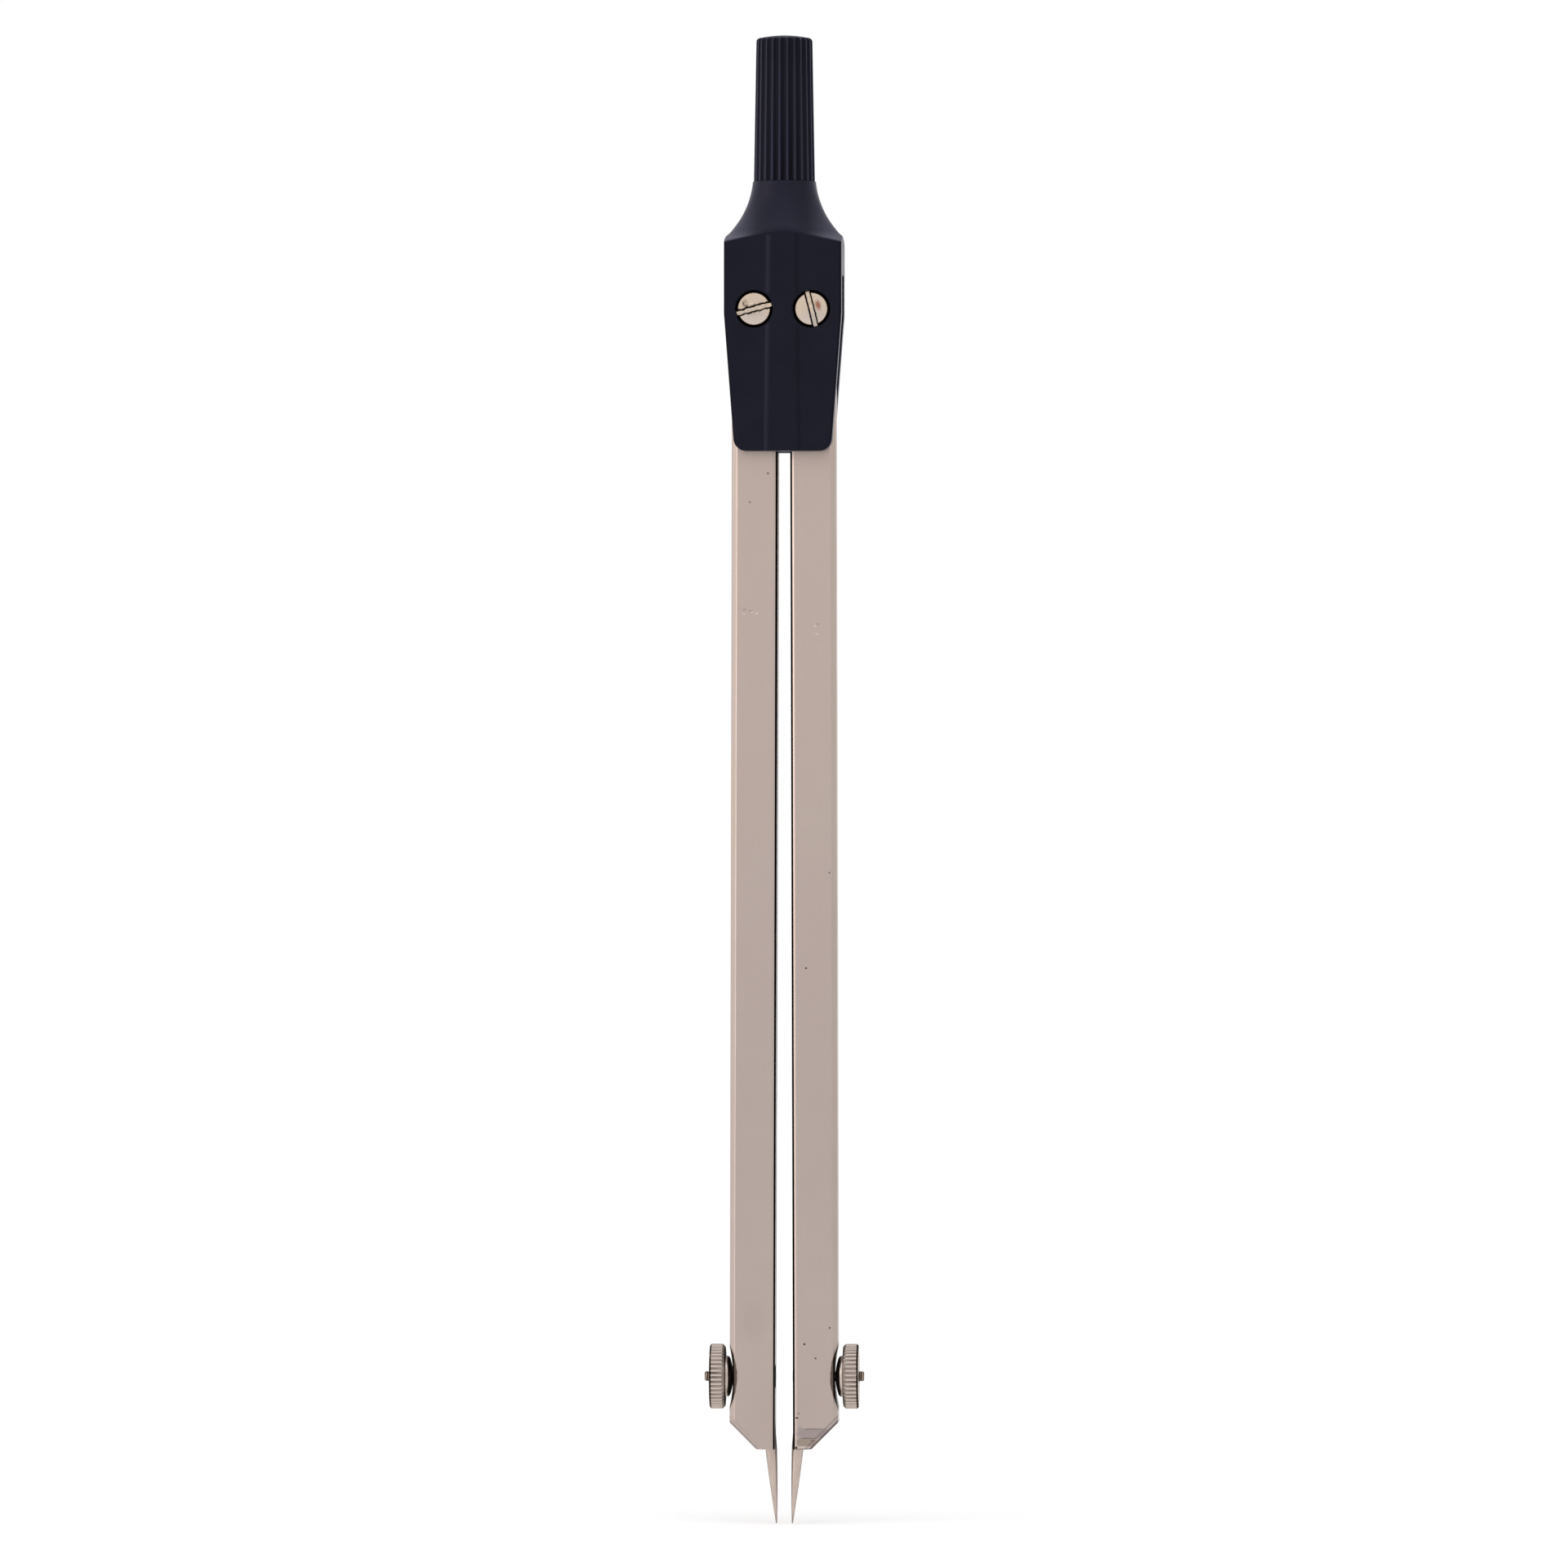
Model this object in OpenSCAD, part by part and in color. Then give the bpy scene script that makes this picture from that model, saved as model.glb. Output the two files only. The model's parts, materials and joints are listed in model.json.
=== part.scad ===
// Friction divider with two toothed legs in a moulded yoke and clamped needles.
// Upright, tips down: +Z runs up to the handle, the front faces -Y and the right leg is on +X.
// The origin is midway between the two needle tips.

/* [Handle] */
// Length of the ribbed handle
handle_l = 16.2; // [12:0.1:22]
// Diameter over the ribs at the handle's foot
handle_foot_d = 6.8; // [6:0.1:8]
// Diameter over the ribs at the handle's top
handle_top_d = 6.25; // [5.6:0.05:7]
// Number of ribs round the handle
rib_count = 24; // [16:1:26]
// Width of the flutes between the ribs
flute_w = 0.62; // [0.4:0.02:0.66]
// Depth of the flutes
flute_depth = 0.26; // [0.12:0.02:0.32]
// Rounding of the handle's top edge
handle_round = 0.45; // [0.35:0.05:1]
// Rise of the handle's top towards its middle
handle_crown = 0.28; // [0.1:0.02:0.6]
// Diameter of the yoke's stem inside the handle
stem_d = 4; // [3:0.1:5]
// Thickness of the handle's closed top
handle_cap_t = 2.5; // [1:0.1:4]

/* [Yoke] */
// Width across the shoulders
head_w = 13; // [12:0.1:16]
// Width of the cheeks at their foot
head_foot_w = 10.7; // [9:0.1:11.5]
// Thickness of each cheek
cheek_t = 3; // [2.6:0.1:4]
// Height of the shoulders above the pivots
shoulder_up = 8.2; // [6:0.1:11]
// Fall of the shoulders towards the corners of the head
shoulder_fall = 0.75; // [0.3:0.05:1.5]
// Length of the cheeks below the pivots
cheek_drop = 15.7; // [12:0.1:22]
// Depth below the pivots at which the cheeks start to taper
taper_drop = 0.5; // [0:0.1:4]
// Corner radius at the foot of the cheeks
foot_r = 1.4; // [0.6:0.1:2.4]
// Height of the trumpet-shaped neck
neck_h = 6.1; // [4.5:0.1:9]
// Distance above the neck at which its curve stands upright
neck_lead = 0.9; // [0:0.1:2]
// Step outwards from the handle's foot to the neck
neck_lip = 0.1; // [0:0.02:0.3]
// Width of the raised band down the front cheek, at its top
band_w = 2.9; // [2:0.1:4]
// Width of the raised band at its foot
band_foot_w = 3.7; // [2:0.1:5]
// Height of the raised band
band_lift = 0.06; // [0.02:0.02:0.2]
// Room between the legs' teeth and the roof of the slot
roof_gap = 0.35; // [0.2:0.05:1]

/* [Pivots] */
// Distance between the two pivots
pivot_gap = 6.35; // [5.8:0.05:6.6]
// Diameter of the pivot screws
pivot_d = 2; // [1.6:0.1:2.6]
// Diameter of the screw heads
screw_head_d = 3.96; // [3.4:0.02:4.4]
// Height of the screw heads
screw_head_h = 1.2; // [0.8:0.1:1.6]
// Bevel round the screw heads
screw_bevel = 0.2; // [0.1:0.02:0.4]
// Depth of the screw heads below the front face
screw_sink = 0.15; // [0:0.05:0.4]
// Gap round the screw heads in their counterbores
counterbore_gap = 0.12; // [0.08:0.02:0.4]
// Width of the screwdriver slot
slot_w = 0.65; // [0.4:0.05:0.9]
// Depth of the screwdriver slot
slot_depth = 0.5; // [0.3:0.05:0.7]
// Angle of the left screw's slot above the horizontal
slot_angle_left = 15; // [0:1:180]
// Angle of the right screw's slot above the horizontal
slot_angle_right = 104; // [0:1:180]
// Width across the flats of the pivot nuts
pivot_nut_af = 4; // [3.6:0.1:4.6]
// Height of the pivot nuts
pivot_nut_h = 1.6; // [1.2:0.1:1.8]
// Depth of the pivot nuts below the rear face
pivot_nut_sink = 0.15; // [0.05:0.05:0.4]
// Outer diameter of the friction washers
washer_d = 5.4; // [4.4:0.1:5.7]
// Thickness of the friction washers
washer_t = 0.3; // [0.2:0.05:0.6]

/* [Legs] */
// Length of a leg from its pivot to its lower end
leg_l = 126.2; // [80:0.1:160]
// Width of a leg, seen from the front
leg_w = 5; // [4.4:0.1:5.4]
// Thickness of a leg, front to back
leg_t = 5; // [4:0.1:6]
// Bevel along the outer edges
outer_bevel = 0.55; // [0.3:0.05:0.9]
// Bevel along the inner edges, seen from the front
inner_bevel = 0.42; // [0.2:0.02:0.7]
// Depth of that bevel, front to back
inner_bevel_t = 0.24; // [0.1:0.02:0.5]
// Size of the slanting cut at the outer lower corner
corner_cut = 2.95; // [2:0.05:3.4]
// Bevel along the slanting cut
cut_bevel = 0.58; // [0.2:0.02:0.7]
// Angle by which each leg stands open
rest_open = 0.16; // [0.1:0.01:1]
// Teeth in a full turn of a leg's round head
tooth_count = 14; // [12:2:20]
// Teeth cut on each head
teeth_cut = 5; // [4:1:5]
// Pressure angle of the teeth
pressure_angle = 20; // [20:1:25]
// Height of a tooth above the pitch circle, in modules
tooth_addendum = 0.8; // [0.7:0.05:0.9]
// Depth of a tooth below the pitch circle, in modules
tooth_dedendum = 1.15; // [1.05:0.05:1.3]
// Slack taken from each flank of a tooth
tooth_slack = 0.04; // [0.02:0.01:0.08]

/* [Clamps] */
// Height of the clamp above the leg's lower end
clamp_up = 8; // [6:0.1:11]
// Length of the hollow that seats the thumb nut, along the leg
hollow_l = 6.7; // [5:0.1:8]
// Depth of the hollow
hollow_depth = 0.4; // [0.2:0.02:0.5]
// Diameter of the thumb nut over its knurl
thumb_d = 7.2; // [6:0.1:9]
// Thickness of the thumb nut's rim
rim_t = 1.73; // [1.2:0.05:2.5]
// Bevel at the outer side of the rim
rim_bevel = 0.18; // [0.1:0.02:0.4]
// Bevel at the side of the rim that faces the leg
rim_seat_bevel = 0.3; // [0.1:0.02:0.4]
// Number of ridges in the knurl
ridge_count = 44; // [36:1:60]
// Depth of the knurl
ridge_depth = 0.15; // [0.08:0.01:0.2]
// Gap between the rim and the side of the leg
rim_gap = 0.52; // [0.3:0.02:1]
// Diameter of the nut's domed seat at the rim
dome_d = 4.4; // [3.4:0.1:5]
// Radius of the dome
dome_r = 2.6; // [2.6:0.05:4]
// Diameter of the clamp bolt's threaded end
stud_d = 1.2; // [1:0.05:1.3]
// Length of the threaded end beyond the nut
stud_out = 0.6; // [0.2:0.05:1.5]
// Lead of the clamp thread for one turn
thread_lead = 0.25; // [0.2:0.01:0.35]
// Diameter of the clamp bolt's eye
eye_d = 2.6; // [2.4:0.05:3.2]
// Length of the clamp bolt's eye
eye_l = 3.3; // [3:0.1:3.6]
// Distance that the eye stands out of the leg's inner face
eye_proud = 0.05; // [0:0.01:0.1]
// Room behind the eye for drawing it tight
eye_room = 0.3; // [0.15:0.05:0.5]

/* [Needles] */
// Diameter of a needle
needle_d = 1.3; // [1:0.05:1.4]
// Height of the leg's lower end above the tip
needle_out = 8.3; // [5:0.1:12]
// Length of the needle inside the leg
needle_in = 14; // [11:0.5:20]
// Lean of the needle towards the other leg
needle_lean = 4.26; // [3:0.02:5]
// Depth of the needle's axis inside the leg's inner face, at its lower end
needle_inset = 0.44; // [0.3:0.01:0.7]
// Diameter of the blunted tip
tip_d = 0.12; // [0.04:0.01:0.2]
// Swell of the needle's point beyond a plain cone
point_swell = 0.05; // [0:0.01:0.1]

/* [Fits] */
// Radial clearance of a turning or sliding fit
run_fit = 0.03; // [0.02:0.01:0.06]
// Clearance between flat faces that slide
face_fit = 0.02; // [0.01:0.01:0.05]
// Radial clearance of a piece pushed home
push_fit = 0.01; // [0.005:0.005:0.03]
// Clearance round the pivot nuts and screws in the yoke
loose_fit = 0.05; // [0.03:0.01:0.1]

/* [Hidden] */
$fn = 64;

plastic = "#1f1f29";
nickel = "#bbaca5";
needle_steel = "#c6b5ab";
bare_steel = "#9a9a98";
nylon = "#d8d4c8";

// Overshoot of a cut past the face that it leaves
past = 1;
left = -1;
right = 1;

// Places across the yoke, front to back
slot_t = leg_t + 2 * (face_fit + washer_t);
head_t = slot_t + 2 * cheek_t;
front_y = -head_t / 2;
rear_y = head_t / 2;
seat_y = front_y + screw_sink + screw_head_h;
nut_y = rear_y - pivot_nut_sink - pivot_nut_h;

// Teeth on the heads of the legs
pitch_r = pivot_gap / 2;
tooth_module = pivot_gap / tooth_count;
tooth_step = 360 / tooth_count;
tip_r = pitch_r + tooth_addendum * tooth_module;
root_r = pitch_r - tooth_dedendum * tooth_module;
base_r = pitch_r * cos(pressure_angle);
flank_steps = 4;

// Steps along the curved point of a needle
point_steps = 8;

// Places on a leg, measured from its pivot with the inner side on -X
inner_x = -leg_w / 2;
outer_x = leg_w / 2;
needle_x = inner_x + needle_inset;
needle_out_l = needle_out / cos(needle_lean);
tip_x = needle_x - needle_out_l * sin(needle_lean);
tip_z = -leg_l - needle_out;
clamp_z = -leg_l + clamp_up;
clamp_needle_x = needle_x + clamp_up * tan(needle_lean);
hollow_r = (pow(hollow_l / 2, 2) + pow(hollow_depth, 2)) / (2 * hollow_depth);
hollow_x = outer_x - hollow_depth;
rim_x = outer_x + rim_gap;
eye_end_x = inner_x - eye_proud;
shoulder_x = eye_end_x + eye_l;
eye_play = thread_lead + 3 * run_fit;

// Heights in the whole divider, with the tips at zero
pivot_z = -(tip_x * sin(rest_open) + tip_z * cos(rest_open));
shoulder_z = pivot_z + shoulder_up;
neck_top_z = shoulder_z + neck_h;
foot_z = pivot_z - cheek_drop;
taper_z = pivot_z - taper_drop;
roof_z = pivot_z + tip_r + roof_gap;
stem_l = handle_l - handle_cap_t;

function polar(r, a) = [r * cos(a), r * sin(a)];

// Involute function of a pressure angle, in degrees
function inv(a) = tan(a) * 180 / PI - a;

// Half the angle that a tooth takes up at radius r
function tooth_half(r) =
  tooth_step / 4 - tooth_slack / pitch_r * 180 / PI
  + inv(pressure_angle) - inv(acos(base_r / max(r, base_r)));

// Outline of one tooth about angle a, from below the root circle to the tip circle
function tooth(a) =
  let (
    low_r = root_r - tooth_slack,
    radii = concat([low_r], [for (i = [0 : flank_steps]) base_r + (tip_r - base_r) * i / flank_steps])
  )
  concat(
    [for (r = radii) polar(r, a - tooth_half(r))],
    [for (i = [len(radii) - 1 : -1 : 0]) polar(radii[i], a + tooth_half(radii[i]))]
  );

// Rectangle with its four corners cut off, for the section of a leg
module leg_section() {
  half = leg_t / 2;
  polygon([
    [inner_x, -half + inner_bevel_t],
    [inner_x + inner_bevel, -half],
    [outer_x - outer_bevel, -half],
    [outer_x, -half + outer_bevel],
    [outer_x, half - outer_bevel],
    [outer_x - outer_bevel, half],
    [inner_x + inner_bevel, half],
    [inner_x, half - inner_bevel_t]
  ]);
}

// Cylinder along X from x0 to x1 on the clamp's axis
module clamp_rod(d, x0, x1) {
  translate([x0, 0, clamp_z])
    rotate([0, 90, 0])
      cylinder(d = d, h = x1 - x0);
}

// Children stand on the needle's axis, with +Z up it and the leg's end at zero
module on_needle_axis(shift = 0) {
  translate([needle_x + shift, 0, -leg_l])
    rotate([0, needle_lean, 0])
      children();
}

// Slanting cut at the outer lower corner, with a bevel on its front and rear edges
module corner_cut_tool() {
  size = 3 * corner_cut;
  translate([outer_x, 0, -leg_l + corner_cut])
    rotate([0, 45, 0]) {
      translate([0, -leg_t / 2 - past, -size / 2])
        cube([size, leg_t + 2 * past, size]);
      for (side = [-1, 1])
        translate([-cut_bevel, side * leg_t / 2, -size / 2])
          rotate([0, 0, side * 45])
            translate([0, -size / 2, 0])
              cube(size);
    }
}

// Leg about its own pivot, with a tooth or a gap facing the other leg
module leg_shape(phase) {
  difference() {
    union() {
      translate([0, 0, -leg_l])
        linear_extrude(leg_l)
          leg_section();
      rotate([90, 0, 0])
        linear_extrude(leg_t, center = true) {
          circle(root_r);
          for (i = [0 : teeth_cut - 1])
            polygon(tooth(180 - (i - 1 + phase) * tooth_step));
        }
    }
    rotate([90, 0, 0])
      cylinder(d = pivot_d + 2 * run_fit, h = leg_t + 2 * past, center = true);
    corner_cut_tool();
    translate([hollow_x + hollow_r, 0, clamp_z])
      rotate([90, 0, 0])
        cylinder(r = hollow_r, h = leg_t + 2 * past, center = true, $fn = 128);
    clamp_rod(eye_d + 2 * run_fit, inner_x - past, shoulder_x + eye_room);
    clamp_rod(stud_d + 2 * loose_fit, shoulder_x, outer_x + past);
    on_needle_axis()
      translate([0, 0, -past])
        cylinder(d = needle_d + 2 * run_fit, h = needle_in + loose_fit + past);
  }
}

// Eye with a cross hole for the needle, and the threaded end that the nut draws
module bolt_shape() {
  stud_end = rim_x + rim_t + stud_out;
  lead_in = stud_d / 6;
  difference() {
    union() {
      clamp_rod(eye_d, eye_end_x, shoulder_x);
      clamp_rod(stud_d, shoulder_x, stud_end - lead_in);
      translate([stud_end - lead_in, 0, clamp_z])
        rotate([0, 90, 0])
          cylinder(d1 = stud_d, d2 = stud_d - 2 * lead_in, h = lead_in);
    }
    on_needle_axis(eye_play / 2 - run_fit)
      translate([0, 0, clamp_up - eye_d])
        cylinder(d = needle_d + eye_play, h = 2 * eye_d);
  }
}

// Outline of the knurl: ridges with flat crests and valleys
module knurl_outline() {
  step = 360 / ridge_count;
  crest_r = thumb_d / 2;
  valley_r = crest_r - ridge_depth;
  polygon([
    for (i = [0 : ridge_count - 1])
      for (p = [[crest_r, 0.12], [crest_r, 0.38], [valley_r, 0.62], [valley_r, 0.88]])
        polar(p[0], (i + p[1]) * step)
  ]);
}

// Thumb nut, with its domed seat in the leg's hollow
module nut_shape() {
  seat_r = 0.3 * dome_d;
  seat_x = hollow_x + face_fit + hollow_r - sqrt(pow(hollow_r, 2) - pow(seat_r, 2));
  dome_h = rim_x - seat_x;
  dome_back = sqrt(pow(dome_r, 2) - pow(dome_d / 2, 2));
  rim_r = thumb_d / 2;
  translate([seat_x, 0, clamp_z])
    rotate([0, 90, 0])
      difference() {
        union() {
          rotate_extrude()
            intersection() {
              translate([0, dome_h + dome_back])
                circle(dome_r);
              square([dome_d / 2, dome_h + rim_seat_bevel]);
            }
          translate([0, 0, dome_h])
            intersection() {
              linear_extrude(rim_t)
                knurl_outline();
              rotate_extrude()
                polygon([
                  [0, 0],
                  [rim_r - rim_seat_bevel, 0],
                  [rim_r, rim_seat_bevel],
                  [rim_r, rim_t - rim_bevel],
                  [rim_r - rim_bevel, rim_t],
                  [0, rim_t]
                ]);
            }
        }
        translate([0, 0, -past])
          cylinder(d = stud_d + 2 * run_fit, h = dome_h + rim_t + 2 * past);
      }
}

// Radius of a needle's point, from its shank at zero to its tip at one
function point_r(t) =
  needle_d / 2 + (tip_d - needle_d) / 2 * t + 4 * point_swell * t * (1 - t);

// Needle: a straight shank and a long, slightly swelling point
module needle_shape() {
  on_needle_axis()
    rotate_extrude()
      polygon(concat(
        [[0, -needle_out_l], [0, needle_in], [needle_d / 2, needle_in]],
        [for (i = [0 : point_steps]) [point_r(i / point_steps), -needle_out_l * i / point_steps]]
      ));
}

// Children are drawn for the right leg and mirrored for the left one
module on_leg(side) {
  mirror([side == left ? 1 : 0, 0, 0])
    translate([pivot_gap / 2, 0, pivot_z])
      rotate([0, -rest_open, 0])
        children();
}

// Children stand on a pivot, with +Z along the pivot towards the rear
module on_pivot(side, y) {
  translate([side * pivot_gap / 2, y, pivot_z])
    rotate([-90, 0, 0])
      children();
}

// Front outline of the yoke, with round corners at the foot of the cheeks
module head_outline() {
  half = head_w / 2;
  foot_half = head_foot_w / 2;
  slope = atan((half - foot_half) / (taper_z - foot_z));
  corner_z = foot_z + foot_r;
  corner_x = foot_half + foot_r * tan(slope) - foot_r / cos(slope);
  steps = 10;
  right_side = concat(
    [[half, neck_top_z], [half, taper_z]],
    [for (i = [0 : steps])
      [corner_x, corner_z] + polar(foot_r, -slope - i * (90 - slope) / steps)]
  );
  polygon(concat(
    right_side,
    [for (i = [len(right_side) - 1 : -1 : 0]) [-right_side[i][0], right_side[i][1]]]
  ));
}

// Solid of revolution that shapes the neck and the shoulders
module neck_envelope() {
  top_r = handle_foot_d / 2 + neck_lip;
  half = head_w / 2;
  corner_r = norm([half, head_t / 2]);
  far_r = corner_r + past;
  fall = shoulder_fall / (corner_r - half);
  arc_x = (neck_h * neck_h + 2 * neck_h * neck_lead) / (2 * (half - top_r)) + (top_r + half) / 2;
  arc_r = norm([arc_x - top_r, neck_lead]);
  rotate_extrude($fn = 128)
    difference() {
      polygon([
        [0, foot_z - past],
        [far_r, foot_z - past],
        [far_r, shoulder_z - fall * (far_r - half)],
        [half, shoulder_z],
        [half, neck_top_z],
        [0, neck_top_z]
      ]);
      intersection() {
        translate([arc_x, neck_top_z + neck_lead])
          circle(arc_r, $fn = 256);
        translate([0, shoulder_z])
          square([arc_x, neck_h + past]);
      }
    }
}

// Front outline of the ground on one side of the raised band
module beside_band(side) {
  far_x = head_w / 2 + past;
  polygon([
    [side * band_foot_w / 2, foot_z - past],
    [side * far_x, foot_z - past],
    [side * far_x, neck_top_z],
    [side * band_w / 2, neck_top_z]
  ]);
}

// Moulded head: two cheeks, the neck above them and the stem that carries the handle
module yoke() {
  color(plastic)
    difference() {
      union() {
        intersection() {
          rotate([90, 0, 0])
            linear_extrude(head_t, center = true)
              head_outline();
          neck_envelope();
        }
        translate([0, 0, neck_top_z - past])
          cylinder(d = stem_d, h = stem_l + past);
      }
      translate([-head_w / 2 - past, -slot_t / 2, foot_z - past])
        cube([head_w + 2 * past, slot_t, roof_z - foot_z + past]);
      for (side = [left, right]) {
        on_pivot(side, front_y - past)
          cylinder(d = pivot_d + 2 * loose_fit, h = head_t + 2 * past);
        on_pivot(side, front_y - past)
          cylinder(d = screw_head_d + 2 * counterbore_gap, h = past + seat_y - front_y);
        on_pivot(side, nut_y)
          cylinder(d = (pivot_nut_af + 2 * loose_fit) / cos(30), h = rear_y - nut_y + past, $fn = 6);
        translate([0, front_y + band_lift, 0])
          rotate([90, 0, 0])
            linear_extrude(past + band_lift)
              beside_band(side);
      }
    }
}

// Ribbed handle pushed onto the yoke's stem
module handle() {
  foot_r0 = handle_foot_d / 2;
  top_r0 = handle_top_d / 2;
  edge_r = top_r0 - handle_round;
  edge_z = handle_l - handle_crown;
  crown_r = (pow(edge_r, 2) + pow(handle_crown, 2)) / (2 * handle_crown);
  taper = atan((foot_r0 - top_r0) / handle_l);
  flute_r = (pow(flute_w / 2, 2) + pow(flute_depth, 2)) / (2 * flute_depth);
  color(plastic)
    translate([0, 0, neck_top_z])
      difference() {
        rotate_extrude()
          union() {
            polygon([
              [0, 0],
              [foot_r0, 0],
              [top_r0, edge_z - handle_round],
              [edge_r, edge_z],
              [0, edge_z]
            ]);
            translate([edge_r, edge_z - handle_round])
              circle(handle_round);
            intersection() {
              translate([0, handle_l - crown_r])
                circle(crown_r, $fn = 256);
              translate([0, edge_z - handle_round])
                square([edge_r, handle_crown + handle_round]);
            }
          }
        translate([0, 0, -past])
          cylinder(d = stem_d + 2 * push_fit, h = stem_l + push_fit + past);
        for (i = [0 : rib_count - 1])
          rotate([0, 0, i * 360 / rib_count])
            translate([foot_r0 + flute_r - flute_depth, 0, 0])
              rotate([0, -taper, 0])
                translate([0, 0, -past])
                  cylinder(r = flute_r, h = handle_l + 3 * past);
      }
}

// Slotted screw that a leg turns on, from the front face to its nut
module pivot_screw(side, slot_angle) {
  shank_l = rear_y - pivot_nut_sink - seat_y;
  on_pivot(side, seat_y)
    difference() {
      union() {
        translate([0, 0, -screw_head_h])
          cylinder(d1 = screw_head_d - 2 * screw_bevel, d2 = screw_head_d, h = screw_bevel);
        translate([0, 0, screw_bevel - screw_head_h])
          cylinder(d = screw_head_d, h = screw_head_h - screw_bevel);
        cylinder(d = pivot_d, h = shank_l);
      }
      rotate([0, 0, -slot_angle])
        translate([-screw_head_d, -slot_w / 2, -screw_head_h - past])
          cube([2 * screw_head_d, slot_w, slot_depth + past]);
    }
}

// Hexagon nut in the rear cheek
module pivot_nut(side) {
  on_pivot(side, nut_y)
    difference() {
      cylinder(d = pivot_nut_af / cos(30), h = pivot_nut_h, $fn = 6);
      translate([0, 0, -past])
        cylinder(d = pivot_d + 2 * push_fit, h = pivot_nut_h + 2 * past);
    }
}

// Flat ring that rubs on a leg's head
module friction_washer(side, y) {
  on_pivot(side, y)
    difference() {
      cylinder(d = washer_d, h = washer_t);
      translate([0, 0, -past])
        cylinder(d = pivot_d + 2 * loose_fit, h = washer_t + 2 * past);
    }
}

module left_pivot_screw() { color(nickel) pivot_screw(left, slot_angle_left); }
module right_pivot_screw() { color(nickel) pivot_screw(right, slot_angle_right); }
module left_pivot_nut() { color(bare_steel) pivot_nut(left); }
module right_pivot_nut() { color(bare_steel) pivot_nut(right); }
module left_front_washer() { color(nylon) friction_washer(left, -slot_t / 2); }
module right_front_washer() { color(nylon) friction_washer(right, -slot_t / 2); }
module left_rear_washer() { color(nylon) friction_washer(left, slot_t / 2 - washer_t); }
module right_rear_washer() { color(nylon) friction_washer(right, slot_t / 2 - washer_t); }
module left_leg() { color(nickel) on_leg(left) leg_shape(0.5); }
module right_leg() { color(nickel) on_leg(right) leg_shape(0); }
module left_clamp_bolt() { color(nickel) on_leg(left) bolt_shape(); }
module right_clamp_bolt() { color(nickel) on_leg(right) bolt_shape(); }
module left_thumb_nut() { color(nickel) on_leg(left) nut_shape(); }
module right_thumb_nut() { color(nickel) on_leg(right) nut_shape(); }
module left_needle() { color(needle_steel) on_leg(left) needle_shape(); }
module right_needle() { color(needle_steel) on_leg(right) needle_shape(); }

yoke();
handle();
left_pivot_screw();
right_pivot_screw();
left_pivot_nut();
right_pivot_nut();
left_front_washer();
right_front_washer();
left_rear_washer();
right_rear_washer();
left_leg();
right_leg();
left_clamp_bolt();
right_clamp_bolt();
left_thumb_nut();
right_thumb_nut();
left_needle();
right_needle();
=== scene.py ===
import json
import bmesh
import bpy
from math import atan, cos, exp, hypot, pi, radians, sin, sqrt, tan
from mathutils import Matrix, Vector, noise


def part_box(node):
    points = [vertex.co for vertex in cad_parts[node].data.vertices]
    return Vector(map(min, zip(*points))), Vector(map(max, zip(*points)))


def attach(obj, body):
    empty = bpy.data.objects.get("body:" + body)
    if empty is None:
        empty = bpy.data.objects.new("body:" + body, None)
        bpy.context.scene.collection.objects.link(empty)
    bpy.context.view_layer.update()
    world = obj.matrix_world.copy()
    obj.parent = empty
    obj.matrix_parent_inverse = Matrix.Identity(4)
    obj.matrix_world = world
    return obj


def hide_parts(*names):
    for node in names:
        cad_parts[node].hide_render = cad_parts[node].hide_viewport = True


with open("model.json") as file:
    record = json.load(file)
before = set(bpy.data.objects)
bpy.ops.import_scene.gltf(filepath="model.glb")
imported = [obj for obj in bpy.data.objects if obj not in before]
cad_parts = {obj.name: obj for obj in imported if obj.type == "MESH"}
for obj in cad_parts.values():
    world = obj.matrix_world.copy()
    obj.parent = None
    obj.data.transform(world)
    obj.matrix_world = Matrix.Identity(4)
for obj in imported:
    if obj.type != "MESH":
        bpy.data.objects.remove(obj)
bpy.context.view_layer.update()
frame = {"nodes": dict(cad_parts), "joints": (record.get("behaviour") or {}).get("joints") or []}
joints = {joint["name"]: joint for joint in frame["joints"]}
sides = {"left": -1, "right": 1}
toMetres = Matrix.Scale(0.001, 4)  # every piece is drawn in millimetres and scaled once
weldMm = 0.0002  # points as near as this are one point
midNoise = (0.3, 0.7)  # where nearly all values of a noise texture lie


def hexToLinear(hexText):
    channels = [int(hexText[i:i + 2], 16) / 255 for i in (1, 3, 5)]
    return (*[c / 12.92 if c <= 0.04045 else ((c + 0.055) / 1.055) ** 2.4 for c in channels], 1.0)


def addNode(tree, kind, inputs=None, **settings):
    made = tree.nodes.new(kind)
    for key, value in settings.items():
        setattr(made, key, value)
    for key, value in (inputs or {}).items():
        if isinstance(value, bpy.types.NodeSocket):
            tree.links.new(value, made.inputs[key])
        else:
            made.inputs[key].default_value = value
    return made


def perMm(size):  # texture scale that gives a pattern of this many millimetres
    return 1000 / size


def metres(sizes):
    return [size / 1000 for size in sizes]


def limited(value):
    return max(0, min(1, value))


def spaced(start, end, count):
    return [start + (end - start) * k / count for k in range(count + 1)]


def mixColour(tree, share, under, over):  # colours are hex texts or sockets
    under, over = [hexToLinear(c) if isinstance(c, str) else c for c in (under, over)]
    return addNode(tree, "ShaderNodeMix", {0: share, 6: under, 7: over}, data_type="RGBA").outputs[2]


def mapped(tree, value, start, end, low=0.0, high=1.0, soft=False):
    return addNode(tree, "ShaderNodeMapRange", {0: value, 1: start, 2: end, 3: low, 4: high},
                   interpolation_type="SMOOTHSTEP" if soft else "LINEAR").outputs[0]


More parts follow.
